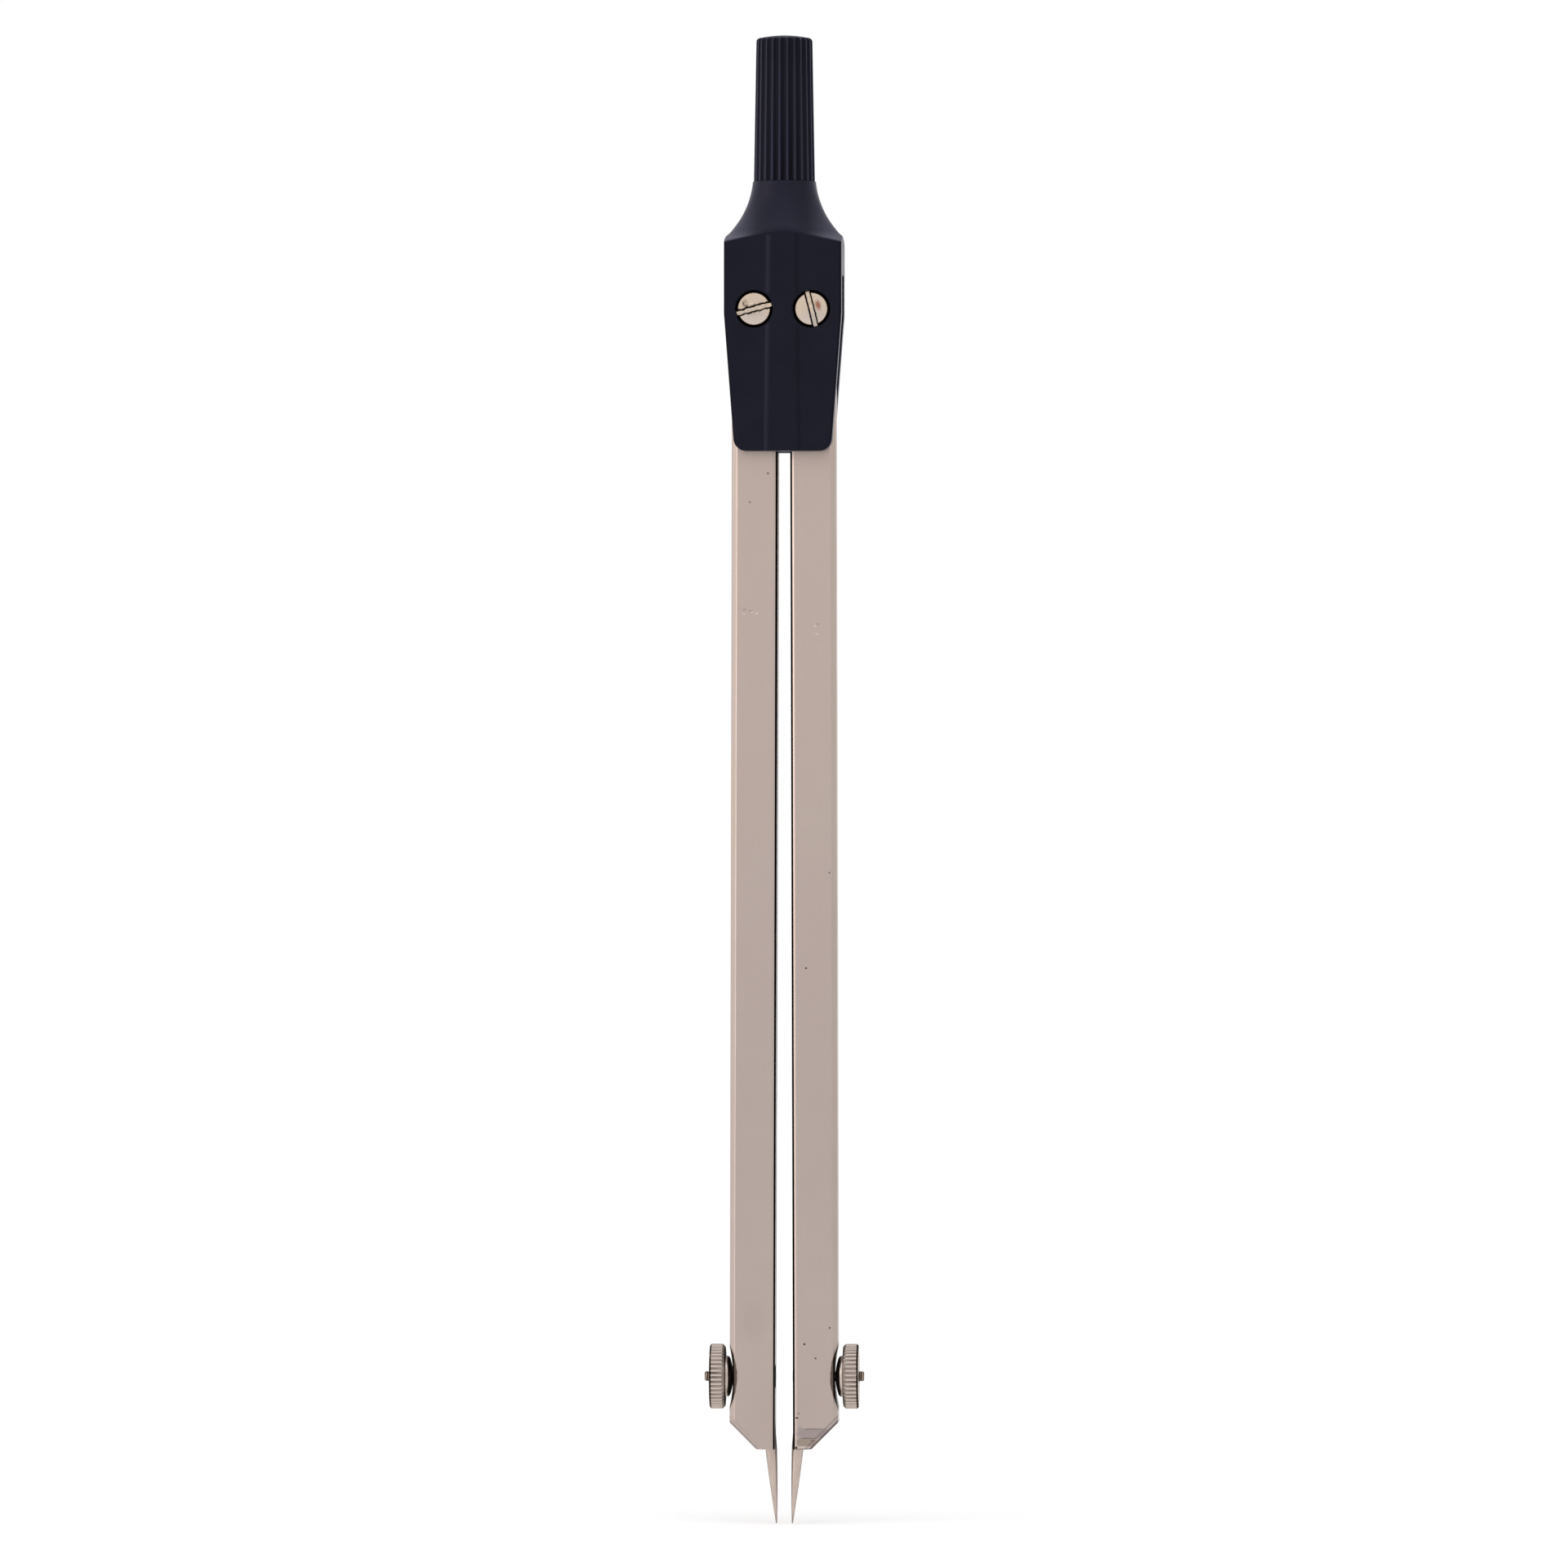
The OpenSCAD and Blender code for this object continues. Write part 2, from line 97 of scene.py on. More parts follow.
def maths(tree, operation, *values, **settings):
    return addNode(tree, "ShaderNodeMath", dict(enumerate(values)), operation=operation, **settings).outputs[0]


def vectorMaths(tree, operation, *values):
    made = addNode(tree, "ShaderNodeVectorMath", dict(enumerate(values)), operation=operation)
    return made.outputs["Value" if operation in ("LENGTH", "DOT_PRODUCT") else "Vector"]


def parts(tree, vector):
    return addNode(tree, "ShaderNodeSeparateXYZ", {0: vector}).outputs


def noiseMap(tree, vector, scale, detail):
    return addNode(tree, "ShaderNodeTexNoise", {"Vector": vector, "Scale": scale, "Detail": detail}).outputs[0]


def painted(tree, name):  # a value stored on the mesh
    return addNode(tree, "ShaderNodeAttribute", attribute_name=name).outputs["Fac"]


def dots(tree, coord, sizeMm, share, rim):  # a dot in this share of the cells
    cells = addNode(tree, "ShaderNodeTexVoronoi", {"Vector": coord, "Scale": perMm(sizeMm)})
    pick = addNode(tree, "ShaderNodeSeparateColor", {0: cells.outputs["Color"]}).outputs[0]
    dot = mapped(tree, cells.outputs["Distance"], *rim)
    return maths(tree, "MULTIPLY", dot, maths(tree, "GREATER_THAN", pick, 1 - share))


def roundedEdges(tree, radiusMm, bend):  # softened normal, and how far it leaves the real one
    soft = addNode(tree, "ShaderNodeBevel", {"Radius": radiusMm / 1000}, samples=6).outputs[0]
    real = addNode(tree, "ShaderNodeNewGeometry").outputs["Normal"]
    return soft, mapped(tree, vectorMaths(tree, "DOT_PRODUCT", soft, real), *bend)


def newMaterial(name):
    material = bpy.data.materials.new(name)
    material.use_nodes = True
    tree = material.node_tree
    shader = next(n for n in tree.nodes if n.type == "BSDF_PRINCIPLED")
    coord = addNode(tree, "ShaderNodeTexCoord").outputs["Object"]
    return material, tree, shader, coord


def stretched(tree, coord, sizesMm, **more):  # coordinates in which these sizes count as 1
    scales = [perMm(size) for size in sizesMm]
    return addNode(tree, "ShaderNodeMapping", {"Vector": coord, "Scale": scales, **more}).outputs[0]


def dress(tree, shader, look, height, colour, rough, **more):
    bump = addNode(tree, "ShaderNodeBump", {"Height": height, "Strength": look["bump"],
                                            "Distance": look["bumpMm"] / 1000, **more}).outputs[0]
    for name, socket in (("Base Color", colour), ("Roughness", rough), ("Normal", bump)):
        tree.links.new(socket, shader.inputs[name])


def setInputs(shader, values):
    for name, value in values.items():
        shader.inputs[name].default_value = value


# black ABS from a fine-grained mould: blue-black, soft sheen, darker along the rounded edges, a few pale nicks, and
# painted shade, painted highlights and a painted sheen where the mesh stores them
def mouldedAbs(look):
    material, tree, shader, coord = newMaterial(look["name"])
    grain = noiseMap(tree, coord, perMm(look["grainMm"]), 3)
    cloud = noiseMap(tree, coord, perMm(look["cloudMm"]), 4)
    nicks = dots(tree, coord, look["nickMm"], look["nickShare"], look["nickRim"])
    soft, edge = roundedEdges(tree, look["edgeMm"], look["edgeBend"])
    spot = parts(tree, vectorMaths(tree, "ABSOLUTE", coord))
    # painted shade: the flute darkening fades towards the top of the handle and towards its sides
    aloft = mapped(tree, spot["Z"], *metres(look["fadeMm"]), 1.0, look["fadeShare"])
    aside = mapped(tree, spot["X"], *metres(look["sideMm"]), aloft, look["fadeShare"])
    shade = maths(tree, "MULTIPLY", painted(tree, "flute"), aside)
    colour = mixColour(tree, cloud, look["dark"], look["light"])
    # painted shade in the flutes and dark lines, painted highlights, painted sheen, darker rounded edges and pale
    # nicks
    for share, tint in ((maths(tree, "MAXIMUM", shade, painted(tree, "outline")), "flute"),
                        (painted(tree, "painted_highlight"), "painted_highlight"), (painted(tree, "painted_sheen"), "painted_sheen"),
                        (maths(tree, "MULTIPLY", edge, cloud), "edgeTone"), (nicks, "nick")):
        colour = mixColour(tree, share, colour, look[tint])
    dress(tree, shader, look, grain, colour, mapped(tree, cloud, *midNoise, *look["rough"]), Normal=soft)
    sheen = hexToLinear(look["sheen"])
    setInputs(shader, {"IOR": look["ior"], "Specular IOR Level": look["specular"], "Specular Tint": sheen,
                       "Sheen Weight": look["bloom"], "Sheen Roughness": look["bloomRough"], "Sheen Tint": sheen})
    return material


def marks(tree, coord, wobble, places):  # ragged spots: centre and radii in mm, strength, share that fades out
    total = 0.0
    for centre, radii, strength, fade, *even in places:
        stray = 0 if even else 1.5 * fade
        local = stretched(tree, coord, radii, Location=[-c / r for c, r in zip(centre, radii)])
        ragged = maths(tree, "MULTIPLY_ADD", wobble, stray, vectorMaths(tree, "LENGTH", local))
        spot = mapped(tree, ragged, 1 + (stray + fade) / 2, 1 + (stray - fade) / 2, 0.0, strength, soft=True)
        total = maths(tree, "MAXIMUM", spot, total)
    return total


# nickel plate over drawn brass: warm grey satin, fine lengthwise grain, hazy patches, pits and hairline scratches
def satinNickel(look):
    material, tree, shader, coord = newMaterial(look["name"])
    grain = noiseMap(tree, stretched(tree, coord, look["grainMm"]), 1, 3)
    cloud = noiseMap(tree, coord, perMm(look["cloudMm"]), 5)
    fleck = noiseMap(tree, coord, perMm(look["fleckMm"]), 3)
    slant = stretched(tree, coord, look["scratchMm"], Rotation=look["scratchTurn"])
    scratch = mapped(tree, noiseMap(tree, slant, 1, 1), *look["scratchRange"])
    pits = dots(tree, coord, look["pitMm"], look["pitShare"], look["pitRim"])
    soft, edge = roundedEdges(tree, look["edgeMm"], look["edgeBend"])
    streak = mapped(tree, grain, *midNoise, -look["streak"], look["streak"])
    mottle = maths(tree, "ADD", cloud, streak, use_clamp=True)
    colour = mixColour(tree, mottle, look["dull"], look["bright"])
    colour = mixColour(tree, edge, colour, look["edge"])
    for tint, places in look["stainsAndShades"]:
        colour = mixColour(tree, marks(tree, coord, fleck, places), colour, tint)
    spot, flipped = parts(tree, coord), vectorMaths(tree, "ABSOLUTE", coord)
    if look["foot"]:  # painted shade: darker towards the points
        foot = look["foot"]
        shadedLow = mapped(tree, spot["Z"], *metres(foot["downMm"]), 0.0, foot["share"], soft=True)
        colour = mixColour(tree, shadedLow, colour, foot["colour"])
    if look["cut"]:  # dark lines along the bevel of the slanting corner, stronger on the right leg
        cut = look["cut"]
        inward = vectorMaths(tree, "DOT_PRODUCT", flipped, (-0.7071, 0, 0.7071))
        depth = mapped(tree, inward, *metres((cut["startMm"], cut["startMm"] + cut["reachMm"])))
        ramp = addNode(tree, "ShaderNodeValToRGB", {0: depth})
        stops = ramp.color_ramp.elements
        stops.remove(stops[0])
        for place, level in cut["lines"]:
            stops.new(place / cut["reachMm"]).color = (level, level, level, 1)
        stops[-1].color = (0, 0, 0, 1)
        share = mapped(tree, maths(tree, "GREATER_THAN", spot["X"], 0.0), 0, 1, cut["left"], cut["right"])
        colour = mixColour(tree, maths(tree, "MULTIPLY", ramp.outputs[0], share), colour, cut["colour"])
    patch = mapped(tree, cloud, *midNoise, 1 - look["patchy"], 1 + look["patchy"])
    spread = maths(tree, "MULTIPLY", painted(tree, "dirt_and_shade"), patch)
    if look["rimMm"]:  # the painted shade on the inner sides stays off their middle
        start, end, wander = metres(look["rimMm"])
        stray = maths(tree, "MULTIPLY_ADD", cloud, wander, parts(tree, flipped)["Y"])
        spread = maths(tree, "MULTIPLY", spread, mapped(tree, stray, start, end, soft=True))
    dirtShade = mapped(tree, spread, *look["dirtShadeRange"])
    speckAndShade = maths(tree, "MAXIMUM", pits, marks(tree, coord, fleck, look["specksAndShade"]))
    for share, tint in ((dirtShade, "dirt_and_shade"), (painted(tree, "rust"), "rust"), (speckAndShade, "pit")):
        if look[tint]:
            colour = mixColour(tree, share, colour, look[tint])
    haze = mapped(tree, cloud, *midNoise, *reversed(look["rough"]))
    rough = maths(tree, "MULTIPLY_ADD", dirtShade, look["dirtShadeRough"], haze)
    height = maths(tree, "MULTIPLY_ADD", scratch, -look["scratchDepth"], grain)
    dress(tree, shader, look, height, colour, rough, Normal=soft)
    setInputs(shader, {"Metallic": 1})
    return material


# turned nylon: milky, waxy, with faint cloudiness
def turnedNylon(look):
    material, tree, shader, coord = newMaterial(look["name"])
    cloud = noiseMap(tree, coord, perMm(look["cloudMm"]), 3)
    dress(tree, shader, look, cloud, mixColour(tree, cloud, look["dull"], look["bright"]),
          mapped(tree, cloud, 0, 1, *look["rough"]))
    setInputs(shader, {"IOR": look["ior"]})
    return material


# near-black head and handle with a faint blue sheen, painted shade in the flutes and a painted sheen on the neck's
# lower corners
blackAbs = mouldedAbs({
    "name": "black_abs", "dark": "#14141e", "light": "#1a1a25", "flute": "#030305", "painted_highlight": "#30303e",
    "painted_sheen": "#4a4959", "edgeTone": "#0a0a0f", "nick": "#6a6a7c", "sheen": "#dcdcff", "grainMm": 0.16, "cloudMm": 3.2,
    "nickMm": 1.9, "nickShare": 0.22, "nickRim": (0.05, 0.02), "edgeMm": 0.16, "edgeBend": (0.995, 0.9),
    "bump": 0.2, "bumpMm": 0.01, "rough": (0.3, 0.4), "ior": 1.54, "specular": 0.08, "bloom": 0.1,
    "bloomRough": 0.45, "fadeMm": (150.5, 158), "sideMm": (1.3, 2.1), "fadeShare": 0.3})
# what the metal finishes share: faint grain and pits, clean unless a piece stores dirt and painted shade
plainNickel = {
    "dirt_and_shade": "#1c130c", "dirtShadeRange": (0, 1), "dirtShadeRough": 0.3, "rust": None, "pit": "#4a3d34", "pitMm": 1.4,
    "pitShare": 0.14, "pitRim": (0.06, 0.03), "stainsAndShades": [], "specksAndShade": [], "cut": None, "foot": None, "rimMm": None,
    "patchy": 0, "streak": 0.1, "fleckMm": 0.5, "edgeMm": 0.03, "edgeBend": (0.998, 0.95), "bump": 0.3,
    "bumpMm": 0.004, "scratchMm": (0.04, 0.6, 0.6), "scratchTurn": (0.3, 0.42, 0.2), "scratchRange": (0.69, 0.76),
    "scratchDepth": 1.5}
legFront = -2.5  # y of the legs' front faces


def frontMarks(*rows):  # on the front of the legs: x, z, half width, half height, depth, strength, fade
    return [((x, legFront, z), (wide, deep, tall), strength, fade) for x, z, wide, tall, deep, strength, fade in rows]


# in the legs' outer sides: the hollow for each thumb nut, painted near-black inside, and a brown painted shade
# crescent round it
hollows = [((s * 19.833, 0, 16.353), (14.34, 400, 14.34)) for s in sides.values()]
crescents = [((s * 12.54, 0, 16.353), (7.38, 400, 7.38)) for s in sides.values()]
# warm grey legs with painted shade along the inner edges, and brown and mauve marks at the right foot painted as the
# light and shade of a shallow ground facet
legNickel = satinNickel({
    **plainNickel, "name": "nickel_plated_brass", "dull": "#bdaca4", "bright": "#cbbbb2", "edge": "#dacbbf",
    "dirt_and_shade": "#0c0806", "dirtShadeRange": (0.67, 0.72), "pit": "#2a201b", "cloudMm": 9, "pitMm": 2.6, "pitShare": 0.05,
    "foot": {"colour": "#a99c97", "downMm": (118, 40), "share": 0.45}, "rimMm": (0.3, 1.7, 0.5),
    "grainMm": (0.05, 0.05, 3.5), "scratchMm": (0.05, 0.05, 2.2), "edgeMm": 0.06, "rough": (0.28, 0.36),
    "stainsAndShades": [
        # right foot: mauve, brown, pale and dark brown bands painted as the light and shade of a shallow ground
        # facet; near z 100, small pale and mauve scuffs
        ("#8a8086", frontMarks((3.5, 10.08, 2.1, 0.6, 0.8, 0.75, 0.3), (-3.2, 22.4, 1.2, 2.0, 2, 0.12, 0.9),
                               (1.8, 10.6, 0.28, 0.24, 2, 0.5, 0.5), (1.76, 10.0, 0.28, 0.3, 2, 0.6, 0.5),
                               (-4.32, 101.3, 0.22, 0.13, 2, 0.4, 0.8), (-3.67, 101.2, 0.2, 0.12, 2, 0.4, 0.8),
                               (3.77, 99.7, 0.18, 0.1, 2, 0.5, 0.8))),
        ("#8d7d6a", frontMarks((2.5, 9.12, 1.15, 0.5, 0.8, 0.85, 0.4))),
        ("#e6dacf", frontMarks((-4.4, 100.85, 0.25, 0.09, 2, 0.5, 0.8), (-3.5, 101.0, 0.12, 0.1, 2, 0.6, 0.8),
                               (-2.99, 100.9, 0.12, 0.1, 2, 0.6, 0.8), (3.5, 99.5, 0.14, 0.1, 2, 0.5, 0.8),
                               (3.65, 98.6, 0.16, 0.1, 2, 0.5, 0.8), (2.3, 8.56, 0.8, 0.12, 0.8, 0.7, 0.4))),
        ("#3a2619", frontMarks((2.75, 9.55, 1, 0.07, 0.8, 0.8, 0.6), (3.2, 9.3, 0.24, 0.14, 2, 0.6, 0.7),
                               (3.25, 10.58, 1.35, 0.07, 0.8, 0.6, 0.7), (2.3, 8.33, 1.1, 0.08, 2, 0.75, 0.5))),
        # painted shade: brown round each hollow, near-black inside it
        ("#6b4f3c", [(*place, 0.9, 0.02) for place in crescents]),
        ("#0c0806", [(*place, 0.95, 0.004) for place in hollows])],
    "cut": {"startMm": 3.708, "reachMm": 0.8, "left": 0.4, "right": 1, "colour": "#51464b",
            "lines": [(0, 0), (0.03, 0.75), (0.22, 0.75), (0.27, 0.05), (0.34, 0.05), (0.39, 0.5), (0.43, 0.05),
                      (0.5, 0.05), (0.56, 0.85), (0.63, 0)]},
    # painted shade on the crescents, then small specks and nicks
    "specksAndShade": [(*place, 0.65, 0.02) for place in crescents] + [
        ((1.45, -2.4, 11.82), (0.17, 1, 0.09), 1, 0.5), ((1.4, -2.4, 8.5), (0.11, 1, 0.15), 1, 0.5)] + frontMarks(
        (1.64, 12.3, 0.12, 0.1, 1, 0.5, 0.7), (2.3, 19.97, 0.12, 0.12, 1, 0.85, 0.6),
        (3.54, 18.4, 0.11, 0.11, 1, 0.85, 0.6), (-1.75, 116.4, 0.16, 0.13, 1, 0.5, 0.7),
        (-3.75, 113.2, 0.12, 0.12, 1, 0.5, 0.7))})
# brownish clamp bolts with dirt and painted shade in their threads
boltNickel = satinNickel({
    **plainNickel, "name": "nickel_plated_bolt", "dull": "#9c8b7b", "bright": "#bdac9b", "edge": "#d0c0b0",
    "cloudMm": 1.2, "grainMm": (0.3, 0.06, 0.06), "rough": (0.28, 0.4)})
# pale, bright screw heads, with painted shade over their lower halves, in the slot and round the rim
screwNickel = satinNickel({
    **plainNickel, "name": "nickel_plated_screw_steel", "dull": "#d2bfad", "bright": "#eedac3", "edge": "#f0e0cd",
    "dirt_and_shade": "#0e0703", "rust": "#a5705b", "cloudMm": 1.2, "pitMm": 0.9, "fleckMm": 0.2,
    # painted shade: greyer over the lower half of each head, and brown on the gouge at the left head's upper left
    "stainsAndShades": [("#c6bbb6", [((-2.9, -5.7, 132.9), (2.4, 3, 1.5), 0.6, 0.9, "even"),
                            ((3.7, -5.7, 132.9), (2.2, 3, 1.6), 0.6, 0.9, "even")]),
               ("#8f7465", [((-4.15, -5.7, 135.1), (0.3, 3, 0.5), 0.45, 0.6)])],
    "grainMm": (0.06, 0.06, 0.5), "bump": 0.4, "rough": (0.2, 0.32)})
# knurled nuts, bright on the ridges, with dirt and painted shade in the valleys and painted shade round the boss
nutNickel = satinNickel({
    **plainNickel, "name": "nickel_plated_knurled_brass", "dull": "#b7a8a0", "bright": "#d6c8bc", "edge": "#e8dacc",
    "cloudMm": 1.6, "streak": 0.2, "patchy": 0.45, "grainMm": (0.5, 0.06, 0.06), "edgeMm": 0.04,
    "rough": (0.24, 0.36)})
# ground needles with streaks along them
needleSteel = satinNickel({
    **plainNickel, "name": "hardened_needle_steel", "dull": "#ac9c93", "bright": "#cebfb4", "edge": "#cbbdb2",
    "dirt_and_shade": "#4d4340", "pit": "#5a504a", "cloudMm": 6, "pitMm": 2, "streak": 0.22, "grainMm": (0.12, 0.12, 4),
    "scratchMm": (0.04, 0.04, 1.5), "edgeMm": 0.02, "bump": 0.2, "rough": (0.2, 0.3)})
# cold grey hexagon nuts
zincSteel = satinNickel({
    **plainNickel, "name": "zinc_plated_steel", "dull": "#9fa09f", "bright": "#bfbfba", "edge": "#d4d4ce",
    "dirt_and_shade": None, "pit": "#55524e", "cloudMm": 1.6, "pitMm": 1.2, "grainMm": (0.08, 0.6, 0.08),
    "scratchMm": (0.05, 0.05, 0.6), "edgeMm": 0.06, "bump": 0.4, "rough": (0.3, 0.45)})
# milky washers, seen as a pale line in the slot
whiteNylon = turnedNylon({"name": "white_nylon", "dull": "#cfcabb", "bright": "#e2ddd0", "cloudMm": 0.8, "bump": 0.2,
                          "bumpMm": 0.01, "rough": (0.4, 0.55), "ior": 1.53})
print("materials made:", len(bpy.data.materials))


def skin(bm, rows, wrap=True):  # quads between rows of points
    made = [[bm.verts.new(point) for point in row] for row in rows]
    for lower, upper in zip(made, made[1:]):
        last = len(lower) if wrap else len(lower) - 1
        for i in range(last):
            j = (i + 1) % len(lower)
            bm.faces.new((lower[i], lower[j], upper[j], upper[i]))
    return made


def paintedSkin(bm, rows, names):  # open rows whose points come with values to store under these names
    layers = [bm.verts.layers.float.new(name) for name in names]
    made = skin(bm, [[point for point, *values in row] for row in rows], wrap=False)
    for row, verts in zip(rows, made):
        for (point, *values), vert in zip(row, verts):
            for layer, value in zip(layers, values):
                vert[layer] = value
    return made


def spun(radius, angle, height):
    return Vector((radius * cos(angle), radius * sin(angle), height))


def turned(bm, profile, steps):  # profile of (radius, height) spun round Z
    angles = [2 * pi * k / steps for k in range(steps)]
    return skin(bm, [[spun(r, a, h) for a in angles] for r, h in profile])


def arc(centre, radius, start, end, steps):
    swept = [radians(degrees) for degrees in spaced(start, end, steps)]
    return [(centre[0] + radius * cos(a), centre[1] + radius * sin(a)) for a in swept]


def axisFrame(origin, axis, across):  # local Z along the axis, local X across it
    z = Vector(axis).normalized()
    x = (Vector(across) - z * z.dot(Vector(across))).normalized()
    placed = Matrix((x, z.cross(x), z)).transposed().to_4x4()
    placed.translation = Vector(origin)
    return placed


def closeMesh(bm, name, material):
    bmesh.ops.remove_doubles(bm, verts=bm.verts, dist=weldMm)
    bmesh.ops.dissolve_degenerate(bm, edges=bm.edges, dist=weldMm)
    bmesh.ops.recalc_face_normals(bm, faces=bm.faces)
    mesh = bpy.data.meshes.new(name)
    bm.to_mesh(mesh)
    bm.free()
    mesh.materials.append(material)
    piece = bpy.data.objects.new(name, mesh)
    bpy.context.scene.collection.objects.link(piece)
    return piece


def baked(piece):  # the evaluated mesh in place of the modifiers
    made = bpy.data.meshes.new_from_object(piece.evaluated_get(bpy.context.evaluated_depsgraph_get()))
    piece.modifiers.clear()
    piece.data = made
    return piece


def carve(piece, cutters):
    for cutter in cutters:
        cut = piece.modifiers.new("cut", "BOOLEAN")
        cut.object = cutter
        cut.operation = "DIFFERENCE"
        cut.solver = "EXACT"
    bpy.context.view_layer.update()
    baked(piece)
    for cutter in cutters:
        bpy.data.objects.remove(cutter)


def settle(piece, body, node, place=None, sharp=32):  # real place and scale, then onto its body
    if place is not None:
        piece.data.transform(place)
    piece.data.transform(toMetres)
    if sharp:
        piece.data.polygons.foreach_set("use_smooth", [True] * len(piece.data.polygons))
        piece.data.set_sharp_from_angle(angle=radians(sharp))
    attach(piece, body)
    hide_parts(node)
    return piece


def newTree(name, inputs, output):  # geometry tree with a geometry input, other inputs and one output
    tree = bpy.data.node_groups.new(name, "GeometryNodeTree")
    for socketName, kind in inputs:
        tree.interface.new_socket(socketName, in_out="INPUT", socket_type="NodeSocket" + kind)
    tree.interface.new_socket(output, in_out="OUTPUT", socket_type="NodeSocketGeometry")
    return tree, addNode(tree, "NodeGroupInput").outputs


def geoNode(tree, kind, inputs=None):
    return addNode(tree, "GeometryNode" + kind, inputs).outputs[0]


def endTree(tree, geometry, finish):
    addNode(tree, "NodeGroupOutput", {0: geoNode(tree, "SetMaterial", {"Geometry": geometry, "Material": finish})})


# one wedge of a ribbed or knurled piece, set round Z and welded
ringTree, given = newTree("ring_of_ribs", (("Wedge", "Geometry"), ("Rib Count", "Int"), ("Weld Distance", "Float"),
                                           ("Finish", "Material")), "Ring")
ringStep = maths(ringTree, "DIVIDE", 2 * pi, given["Rib Count"])
ringAngle = maths(ringTree, "MULTIPLY", geoNode(ringTree, "InputIndex"), ringStep)
ringEuler = addNode(ringTree, "ShaderNodeCombineXYZ", {"Z": ringAngle}).outputs[0]
ringTurn = addNode(ringTree, "FunctionNodeEulerToRotation", {0: ringEuler}).outputs[0]
ringPoints = geoNode(ringTree, "Points", {"Count": given["Rib Count"]})
ringSet = geoNode(ringTree, "InstanceOnPoints", {"Points": ringPoints, "Instance": given["Wedge"],
                                                 "Rotation": ringTurn})
ringReal = geoNode(ringTree, "RealizeInstances", {0: ringSet})
ringWeld = geoNode(ringTree, "MergeByDistance", {"Geometry": ringReal, "Distance": given["Weld Distance"]})
endTree(ringTree, ringWeld, given["Finish"])

# a screw thread laid round Z on a plain rod
threadTree, given = newTree("thread_on_rod", (("Rod", "Geometry"), ("Turns", "Float"), ("Root Radius", "Float"),
                                              ("Thread Length", "Float"), ("Start Height", "Float"),
                                              ("Thread Height", "Float"), ("Finish", "Material")), "Bolt")
threadPath = geoNode(threadTree, "CurveSpiral", {
    "Resolution": 28, "Rotations": given["Turns"], "Start Radius": given["Root Radius"],
    "End Radius": given["Root Radius"], "Height": given["Thread Length"]})
threadUp = geoNode(threadTree, "SetCurveNormal", {"Curve": threadPath})
threadRidge = geoNode(threadTree, "CurvePrimitiveCircle", {"Resolution": 4, "Radius": given["Thread Height"]})
threadSweep = geoNode(threadTree, "CurveToMesh", {"Curve": threadUp, "Profile Curve": threadRidge, "Fill Caps": True})
threadLift = addNode(threadTree, "ShaderNodeCombineXYZ", {"Z": given["Start Height"]}).outputs[0]
threadPlaced = geoNode(threadTree, "Transform", {"Geometry": threadSweep, "Translation": threadLift})
threadJoin = addNode(threadTree, "GeometryNodeJoinGeometry", {0: threadPlaced})
threadTree.links.new(given["Rod"], threadJoin.inputs[0])
threadReal = geoNode(threadTree, "RealizeInstances", {0: threadJoin.outputs[0]})
endTree(threadTree, threadReal, given["Finish"])


def grow(piece, tree, values):  # runs a node tree on a piece with its named inputs
    modifier = piece.modifiers.new(tree.name, "NODES")
    modifier.node_group = tree
    for item in tree.interface.items_tree:
        if item.in_out == "INPUT" and item.name in values:
            modifier[item.identifier] = values[item.name]
    piece.update_tag()
    bpy.context.view_layer.update()
    return baked(piece)


print("node trees made: ring_of_ribs, thread_on_rod")

handleLook = {"length": 16.2, "footRadius": 3.4, "topRadius": 3.125, "ribs": 24, "fluteWidth": 0.62,
              "fluteDepth": 0.26, "crestRound": 0.03, "topRound": 0.45, "crown": 0.28, "boreRadius": 2.01,
              "boreLength": 13.71, "footShare": 0.9, "paleFrom": 0.3, "columns": 16, "rows": 10,
              "crownRings": (0.9, 0.75, 0.55, 0.3, 0)}


